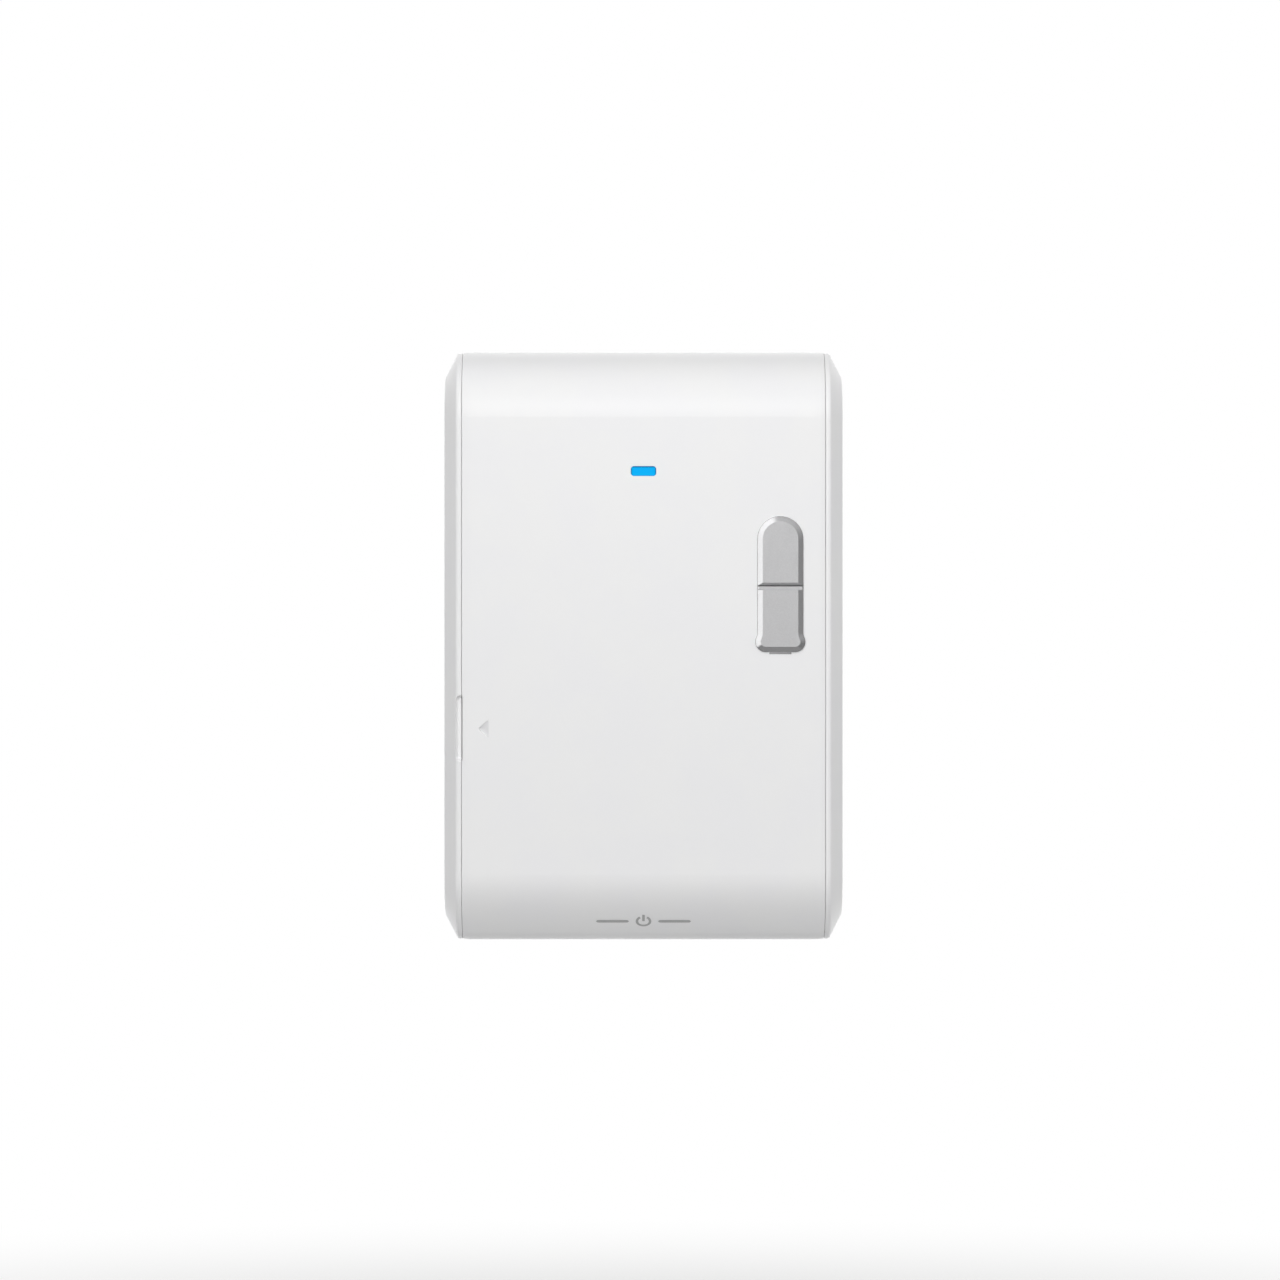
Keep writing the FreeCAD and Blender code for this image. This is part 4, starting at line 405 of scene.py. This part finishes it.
def piece(name, points, faces, finish, body, smooth=True, parts=None):
    """A mesh of whole arrays, in place at the origin, that rides on a body. Parts gives each face its finish's
    number."""
    mesh = bpy.data.meshes.new(name)
    mesh.from_pydata(np.asarray(points, float).tolist(), [], [list(map(int, f)) for f in faces])
    mesh.polygons.foreach_set("use_smooth", np.full(len(mesh.polygons), smooth))
    for f in (finish if isinstance(finish, (list, tuple)) else [finish]):
        mesh.materials.append(f.material)
    if parts is not None:
        mesh.polygons.foreach_set("material_index", np.asarray(parts, np.int32))
    mesh.update()
    made = bpy.data.objects.new(name, mesh)
    bpy.context.scene.collection.objects.link(made)
    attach(made, body)
    return made


def wound_coil(node, name, plate_side):
    """Conical contact spring along X. With t from 0 at the plate to 1 at the cell, the wire turns n t times round the
    axis, its radius falls in a straight line from the wide end's to the narrow end's, and its place along X is a
    straight line between two flat end turns. Round the wire, a point is the centre line plus the wire's radius times
    (cos a outwards + sin a along the axis)."""
    low, high = (np.array(v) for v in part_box(node))
    wire, turns, sides = 0.38 * MM, 6.2, 12
    wide = (high[1] - low[1]) / 2 - wire
    narrow = wide - 2.0 * MM
    middle = (low + high) / 2
    t = np.linspace(0, 1, 420)
    turn = 2 * np.pi * turns * t
    flat = 0.9 / turns
    rise = np.clip((t - flat) / (1 - 2 * flat), 0, 1)
    rise = 0.75 * rise + 0.25 * rise * rise * (3 - 2 * rise)
    # the flat end turns keep one place along X; the wire's middle starts and stops a wire's radius inside the box
    start = high[0] - wire if plate_side > 0 else low[0] + wire
    stop = low[0] + wire if plate_side > 0 else high[0] - wire
    radius = wide + (narrow - wide) * t
    line = np.stack([start + (stop - start) * rise, middle[1] + radius * np.cos(turn),
                     middle[2] + radius * np.sin(turn)], axis=1)
    outward = np.stack([0 * t, np.cos(turn), np.sin(turn)], axis=1)
    a = np.linspace(0, 2 * np.pi, sides, endpoint=False)[:, None]
    points = (line[:, None] + wire * (np.cos(a) * outward[:, None] + np.sin(a) * [1.0, 0.0, 0.0])).reshape(-1, 3)
    faces = [list(f) for f in grid_faces(len(t), sides, wrap=True)]
    faces += [list(range(sides - 1, -1, -1)), list(range(len(points) - sides, len(points)))]
    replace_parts(piece(name, points, faces, nickel_contact, "housing"), node)


def chamfered(centres, sizes, cut):
    """Many blocks in one mesh. A block's corners are its half size times +-1, each of three times with one axis
    pulled in by the cut, so edges and corners are chamfered; the hull's 6 sides, 12 edge strips and 8 corner
    triangles close it."""
    signs = np.array([(i, j, k) for i in (-1, 1) for j in (-1, 1) for k in (-1, 1)], float)
    corner = {tuple(s.astype(int)): n for n, s in enumerate(signs)}
    # vertex 3 n + axis: at corner n, flush with the side that faces axis, and pulled in along the two others
    unit = np.repeat(signs, 3, axis=0)
    pull = np.tile(1 - np.eye(3), (8, 1))
    faces = []
    for axis in range(3):
        u, v = [(1, 2), (2, 0), (0, 1)][axis]
        for side in (-1, 1):
            loop = []
            for a, b in ((-1, -1), (1, -1), (1, 1), (-1, 1)):
                key = [0, 0, 0]
                key[axis], key[u], key[v] = side, a, b
                loop.append(3 * corner[tuple(key)] + axis)
            faces.append(loop if side > 0 else loop[::-1])
        for a, b in ((1, 1), (-1, 1), (-1, -1), (1, -1)):
            low, high = [0, 0, 0], [0, 0, 0]
            low[axis], low[u], low[v] = -1, a, b
            high[axis], high[u], high[v] = 1, a, b
            low, high = corner[tuple(low)], corner[tuple(high)]
            loop = [3 * low + u, 3 * low + v, 3 * high + v, 3 * high + u]
            faces.append(loop if a * b < 0 else loop[::-1])
    for s, n in corner.items():
        loop = [3 * n, 3 * n + 1, 3 * n + 2]
        faces.append(loop if s[0] * s[1] * s[2] > 0 else loop[::-1])
    centres, sizes = np.atleast_2d(centres), np.atleast_2d(sizes)
    points = (centres[:, None] + unit[None] * (sizes[:, None] / 2 - cut * pull[None])).reshape(-1, 3)
    every = [[i + 24 * b for i in face] for b in range(len(centres)) for face in faces]
    return points, every, len(faces)


def ribbon(outline_in, outline_out):
    """Flat band between two lines of the same number of points."""
    count = len(outline_in)
    points = np.concatenate([outline_in, outline_out])
    i = np.arange(count - 1)
    return points, np.stack([i, i + 1, i + 1 + count, i + count], axis=1)


# ---------------------------------------------------------------- new pieces

board_low, board_high = (np.array(v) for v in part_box("main_board"))

# Chip sizes (length, width, height) in mm, and where chips stand on the board: x, z, size, and 1 where along Z.
# A spot that another part reaches stays empty.
CAPACITOR, LARGE_CAPACITOR = (1.6, 0.8, 0.7), (2.0, 1.25, 0.9)
RESISTOR, LARGE_DIODE = (1.6, 0.8, 0.5), (2.0, 1.25, 0.6)
CHIPS = [
    (-7.5, 2.0, CAPACITOR, 1), (-5.5, 2.0, CAPACITOR, 1), (-3.5, 2.0, CAPACITOR, 1),
    (2.0, -3.0, LARGE_CAPACITOR, 0), (5.0, -3.0, LARGE_CAPACITOR, 0), (8.0, -3.0, RESISTOR, 0),
    (14.0, -2.0, RESISTOR, 1), (15.6, -2.0, RESISTOR, 1), (10.0, 42.0, RESISTOR, 0), (10.0, 44.0, RESISTOR, 0),
    (6.0, 42.0, RESISTOR, 1), (-6.0, 42.0, RESISTOR, 1), (-8.0, 38.0, LARGE_DIODE, 1),
    (22.0, 41.0, RESISTOR, 0), (22.0, 39.0, RESISTOR, 0),
]
CHIP_CHAMFER = 0.06 * MM
CHIP_CLEARANCE = 0.3 * MM
GLAZE_STEP = 0.02 * MM  # the body lies this far inside its solder ends


def add_board_parts():
    """Chip parts on the board's front, each a chamfered block between two tinned ends. An end's middle lies 0.38 of
    the length from the chip's, and the ends are 0.24 of it long; the body takes 0.55 of it."""
    length, width, height = np.array([size for _, _, size, _ in CHIPS]).T
    turned = np.array([way > 0 for _, _, _, way in CHIPS])
    size = np.stack([np.where(turned, width, length), height, np.where(turned, length, width)], axis=1) * MM
    spots = np.array([(x, z) for x, z, _, _ in CHIPS]) * MM
    centre = np.stack([spots[:, 0], board_low[1] - size[:, 1] / 2, spots[:, 1]], axis=1)
    free = clear_of_neighbours(centre, size)
    size, centre, turned, height = size[free], centre[free], turned[free], height[free]
    along = np.where(turned[:, None], [[0, 0, 1.0]], [[1.0, 0, 0]])
    reach = (size * along).sum(axis=1)[:, None]
    body_size = size - 0.45 * reach * along
    body_size[:, 1] -= 2 * GLAZE_STEP
    end_size = size - 0.76 * reach * along
    ends = np.concatenate([centre + 0.38 * reach * along, centre - 0.38 * reach * along])
    points, faces, count = chamfered(centre + [[0, GLAZE_STEP, 0]], body_size, CHIP_CHAMFER)
    tall = np.repeat(height > 0.55, count)
    piece("board_chip_bodies", points, faces, [resistor_black, ceramic], "housing", smooth=False,
          parts=tall.astype(int))
    points, faces, _ = chamfered(ends, np.concatenate([end_size, end_size]), CHIP_CHAMFER)
    piece("board_chip_ends", points, faces, solder, "housing", smooth=False)


def clear_of_neighbours(centre, size):
    """Which blocks lie on the board and keep the clearance from the box of every triangle of every other part."""
    low, high = centre - size / 2 - CHIP_CLEARANCE, centre + size / 2 + CHIP_CLEARANCE
    free = (low[:, ::2] > board_low[::2]).all(axis=1) & (high[:, ::2] < board_high[::2]).all(axis=1)
    for name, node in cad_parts.items():
        if name == "main_board":
            continue
        mesh = node.data
        mesh.calc_loop_triangles()
        points = np.empty(3 * len(mesh.vertices))
        corners = np.empty(3 * len(mesh.loop_triangles), np.int32)
        mesh.vertices.foreach_get("co", points)
        mesh.loop_triangles.foreach_get("vertices", corners)
        corners = points.reshape(-1, 3)[corners.reshape(-1, 3)]
        least, most = corners.min(axis=1), corners.max(axis=1)
        for n in np.flatnonzero(free):
            free[n] = not ((least < high[n]) & (most > low[n])).all(axis=1).any()
    return free


INK_THICKNESS = 0.02
MARK_LEAN = math.radians(43.9)
SIGN_INNER, SIGN_OUTER, SIGN_GAP, SIGN_DROP = 1.1, 1.62, 32, -0.1  # ring of the power sign; half its gap in degrees
STEM_HALF, STEM_LOW, STEM_HIGH = 0.26, -0.05, 1.75
BAR_START, BAR_END, BAR_HALF = 3.0, 9.9, 0.38


def on_lower_round(across, up):
    """Point on the cover's lower round, a circle in Y and Z: up is the arc length from the mark's middle, where the
    surface leans by MARK_LEAN, and across is X. The print stands off the surface by its own thickness."""
    radius = ROUND_RADIUS + INK_THICKNESS
    lean = MARK_LEAN - np.asarray(up) / ROUND_RADIUS
    return np.stack([np.asarray(across) * np.ones_like(lean), ROUND_Y - radius * np.cos(lean),
                     ROUND_Z - radius * np.sin(lean)], axis=-1) * MM


def printed_mark():
    """Generic mark: a power sign, a ring with a gap and a stem, between two plain bars. A bar's half width is its
    greatest times the root of 1 - u^16, with u from -1 to 1 along it, so its ends are round."""
    points, faces, base = [], [], 0

    def join(p, f):
        nonlocal base
        points.append(p)
        faces.extend((np.asarray(f) + base).tolist())
        base += len(p)

    turn = np.radians(np.linspace(90 + SIGN_GAP, 90 + 360 - SIGN_GAP, 49))
    join(*ribbon(*(on_lower_round(r * np.cos(turn), r * np.sin(turn) + SIGN_DROP) for r in (SIGN_INNER, SIGN_OUTER))))
    rise = np.linspace(STEM_LOW, STEM_HIGH, 9)
    join(*ribbon(on_lower_round(STEM_HALF, rise), on_lower_round(-STEM_HALF, rise)))
    run = np.linspace(BAR_START, BAR_END, 25)
    u = (2 * run - BAR_START - BAR_END) / (BAR_END - BAR_START)
    half = BAR_HALF * np.sqrt(np.clip(1 - np.abs(u) ** 16, 0, 1))
    for side in (-1, 1):
        a, b = on_lower_round(side * run, SIGN_DROP - half), on_lower_round(side * run, SIGN_DROP + half)
        join(*ribbon(a, b) if side > 0 else ribbon(b, a))
    piece("cover_printed_mark", np.concatenate(points), faces, print_ink, "cover")


wound_coil("bridge_spring", "bridge_coil", 1)
wound_coil("negative_spring", "negative_coil", -1)
add_board_parts()
printed_mark()


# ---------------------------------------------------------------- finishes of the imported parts

finishes = {
    "front_cover": cover_abs(), "main_housing": white_abs, "rear_cover": inner_abs, "chassis": inner_abs,
    "battery_frame": inner_abs, "key_guide": inner_abs, "gearbox_cover": inner_abs,
    "light_pipe": light_window(),
    "first_gear": gear_acetal, "second_gear": gear_acetal, "output_gear": gear_acetal,
    "carriage": carriage_acetal, "switch_yoke": yoke_nylon,
    "motor_can": motor_steel, "motor_end_cap": black_plastic, "motor_rotor": rotor_core,
    "motor_shaft": polished_steel, "motor_pinion": turned_brass, "motor_bracket": tinned_steel,
    "gear_pins": polished_steel, "guide_rods": polished_steel,
    "battery_upper": printed_cell("battery_upper", 1), "battery_lower": printed_cell("battery_lower", -1),
    "bridge_contact": nickel_contact, "positive_contact": nickel_contact, "negative_contact": nickel_contact,
    "main_board": solder_mask("green_solder_mask", ("#0E5A2F", "#0C5029"), "#1B7A43", "#C8C2A0"),
    "radio_module": solder_mask("black_solder_mask", ("#17181A", "#1C1D20"), "#2B2D31", "#C4B98A"),
    "radio_shield": tinned_steel, "driver_chip": epoxy_package(), "reservoir_capacitor": aluminium_can(),
    "upper_tact_switch": black_plastic, "lower_tact_switch": black_plastic,
    "upper_tact_plunger": red_silicone, "lower_tact_plunger": red_silicone,
    "status_led": ivory_nylon, "motor_header": ivory_nylon, "motor_plug": ivory_nylon,
    "battery_header": ivory_nylon, "battery_plug": ivory_nylon,
    "motor_leads": black_lead, "battery_leads": red_lead, "wall_pads": foam_rubber(),
}
finishes["upper_key"] = finishes["lower_key"] = painted_keys()
for name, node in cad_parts.items():
    node.data.materials.clear()
    # what the table doesn't name is a set of screws
    node.data.materials.append(finishes.get(name, screw_steel).material)


# ---------------------------------------------------------------- studio

BACKDROP_RADIUS = 3.4
FLOOR_DROP = 0.1  # the floor lies this far under the object, so that its shade stays out of the front view


def emitter(name, radiance):
    """Flat white light for backdrops."""
    made = bpy.data.materials.new(name)
    made.use_nodes = True
    made.node_tree.nodes.clear()
    glow = add(made.node_tree, "Emission", {"Color": (1.0, 1.0, 1.0, 1.0), "Strength": radiance})
    add(made.node_tree, "OutputMaterial", {"Surface": glow.outputs[0]})
    return made


def stage_mesh(name, points, faces, material):
    mesh = bpy.data.meshes.new(name)
    mesh.from_pydata(points.tolist(), [], faces.tolist())
    mesh.polygons.foreach_set("use_smooth", np.ones(len(mesh.polygons), bool))
    mesh.materials.append(material)
    made = bpy.data.objects.new(name, mesh)
    bpy.context.scene.collection.objects.link(made)
    return made


def backdrop():
    """White shell 3.4 m round the object: a sphere's points are (cos u sin v, sin u sin v, cos v) times its radius.
    It is only seen by the camera, so it doesn't light or mirror in the object."""
    around, down, pole = 48, 25, 0.002
    u, v = np.meshgrid(np.linspace(0, 2 * np.pi, around, endpoint=False), np.linspace(pole, np.pi - pole, down))
    points = BACKDROP_RADIUS * np.stack([np.cos(u) * np.sin(v), np.sin(u) * np.sin(v), np.cos(v)], axis=-1)
    shell = stage_mesh("backdrop", points.reshape(-1, 3), grid_faces(down, around, wrap=True),
                       emitter("white_backdrop_glow", 1.0))
    shell.visible_diffuse = shell.visible_glossy = shell.visible_transmission = False
    shell.visible_volume_scatter = shell.visible_shadow = False


def floor():
    """Pale painted floor under the object that brightens to the backdrop's white a little way off: rings of points at
    growing distances, (r cos u, r sin u)."""
    radius, around = np.array([0.000001, 0.1, 0.2, 0.3, 0.4, 0.5, 0.7, 1.0, 1.6, 2.6]), 48
    turn = np.linspace(0, 2 * np.pi, around, endpoint=False)
    points = np.stack([radius[:, None] * np.cos(turn), radius[:, None] * np.sin(turn),
                       np.full((len(radius), around), cad_low.z - FLOOR_DROP)], axis=-1).reshape(-1, 3)
    made = bpy.data.materials.new("pale_painted_floor")
    made.use_nodes = True
    tree = made.node_tree
    tree.nodes.clear()
    place = add(tree, "TexCoord").outputs["Object"]
    flat = add(tree, "VectorMath", {0: place, 1: (1.0, 1.0, 0.0)}, operation="MULTIPLY").outputs[0]
    away = add(tree, "VectorMath", {0: flat}, operation="LENGTH").outputs["Value"]
    share = add(tree, "MapRange", {"Value": away, "From Min": 0.06, "From Max": 0.42, "To Min": 0.3},
                interpolation_type="SMOOTHSTEP").outputs[0]
    paint = add(tree, "BsdfDiffuse", {"Color": linear("#EDEDEC"), "Roughness": 0.6})
    glow = add(tree, "Emission", {"Color": (1.0, 1.0, 1.0, 1.0), "Strength": 1.0})
    both = add(tree, "MixShader", {0: share, 1: paint.outputs[0], 2: glow.outputs[0]})
    add(tree, "OutputMaterial", {"Surface": both.outputs[0]})
    ground = stage_mesh("floor", points, grid_faces(len(radius), around, wrap=True), made)
    ground.visible_diffuse = ground.visible_glossy = False


def softbox(name, place, aim, size, radiance, diffuse=True, glossy=True):
    """Rectangular soft light of a given radiance: its power is radiance times pi times its area."""
    data = bpy.data.lights.new(name, "AREA")
    data.shape = "RECTANGLE"
    data.size, data.size_y = size
    data.energy = radiance * math.pi * size[0] * size[1]
    made = bpy.data.objects.new(name, data)
    bpy.context.scene.collection.objects.link(made)
    made.location = place
    made.rotation_euler = (Vector(aim) - Vector(place)).to_track_quat("-Z", "Y").to_euler()
    made.visible_camera = False
    made.visible_diffuse, made.visible_glossy = diffuse, glossy
    return made


def step(tree, value, low, high, to_low=0.0, to_high=1.0, how="SMOOTHSTEP"):
    """Value's run from low to high turned into a run from to_low to to_high, and held beyond it."""
    return add(tree, "MapRange", {"Value": value, "From Min": low, "From Max": high, "To Min": to_low,
                                  "To Max": to_high}, interpolation_type=how).outputs[0]


def room_light():
    """Light of the room by direction. On matt surfaces it is even from the sides, dim overhead where the softboxes
    work, dark low in front, bright straight below, as from a white table, and a little brighter from the right. In
    reflections there is a white wall to the left, a ceiling that pales upwards, a dim ground, and a white wall
    behind that gives edges that turn away a pale rim. Radiances are 1 for white."""
    world = bpy.data.worlds.new("studio")
    bpy.context.scene.world = world
    world.use_nodes = True
    tree = world.node_tree
    tree.nodes.clear()
    x, y, z = add(tree, "SeparateXYZ", {0: add(tree, "TexCoord").outputs["Generated"]}).outputs
    mirror = add(tree, "LightPath").outputs["Is Glossy Ray"]

    def combine(operation, first, second):
        return add(tree, "Math", {0: first, 1: second}, operation=operation).outputs[0]

    clock = combine("ARCTAN2", z, combine("MULTIPLY", x, -1.0))
    left = combine("MULTIPLY", step(tree, clock, -0.75, -0.45), step(tree, clock, 1.5, 1.15))
    beside = combine("MULTIPLY", step(tree, y, -0.55, -0.3), step(tree, y, 0.5, 0.25))
    rear_wall = combine("MULTIPLY", step(tree, y, 0.5, 0.85, 0.0, 1.5), step(tree, z, -0.6, -0.3))
    ground = step(tree, z, -0.6, -0.85, 0.0, 0.12)
    shiny = combine("ADD", step(tree, z, -0.3, 0.95, 0.07, 0.47), combine("ADD", rear_wall, ground))
    shiny = add(tree, "Mix", {0: combine("MULTIPLY", left, beside), 2: shiny, 3: 1.58}, data_type="FLOAT").outputs[0]
    low_front = combine("MULTIPLY", step(tree, z, 0.0, -0.3, 0.0, -0.8), step(tree, y, -0.1, -0.4))
    table = step(tree, z, -0.75, -1.0, 0.0, 0.8)
    right = combine("MULTIPLY", step(tree, x, 0.5, 1.0, 0.0, 0.12), step(tree, z, 0.6, 0.1))
    soft = combine("ADD", step(tree, z, -0.1, 1.0, 0.81, 0.01, "LINEAR"), combine("ADD", low_front, table))
    soft = combine("ADD", soft, right)
    level = add(tree, "Mix", {0: mirror, 2: soft, 3: shiny}, data_type="FLOAT").outputs[0]
    sky = add(tree, "Background", {"Color": (1.0, 1.0, 1.0, 1.0), "Strength": level})
    add(tree, "OutputWorld", {"Surface": sky.outputs[0]})


backdrop()
floor()
room_light()
middle = (0.0, -0.02, 0.0)
key_size, card_size = (0.30, 0.16), (0.9, 0.9)
# A light for matt shading and its twin for sheen stand a little apart: a ray that passes through one has to meet the
# other farther on.
softbox("key_softbox", (0.0, -0.40, 0.17), middle, key_size, 1.47, glossy=False)
softbox("key_sheen", (0.0, -0.405, 0.172), middle, key_size, 2.0, diffuse=False)
softbox("front_card", (0.0, -1.15, 0.0), middle, card_size, 1.39, glossy=False)
softbox("front_card_sheen", (0.0, -1.16, 0.0), middle, card_size, 0.42, diffuse=False)
softbox("high_front_softbox", (0.0, -1.0, 0.36), middle, (0.7, 0.25), 1.14)
softbox("overhead_softbox", (0.0, -0.6, 0.75), middle, (0.9, 0.5), 2.13, glossy=False)
softbox("rear_softbox", (0.0, 0.9, 0.3), middle, (0.7, 0.5), 1.0, glossy=False)

camera = bpy.data.objects.new("camera", bpy.data.cameras.new("camera"))
bpy.context.scene.collection.objects.link(camera)
camera.location = (-0.00073, -1.275, 0.00125)
camera.rotation_euler = (math.radians(90), 0, 0)
camera.data.lens = 168.4
camera.data.sensor_width = 36
camera.data.clip_start, camera.data.clip_end = 0.05, 20
bpy.context.scene.camera = camera
bpy.context.scene.view_settings.view_transform = "Standard"
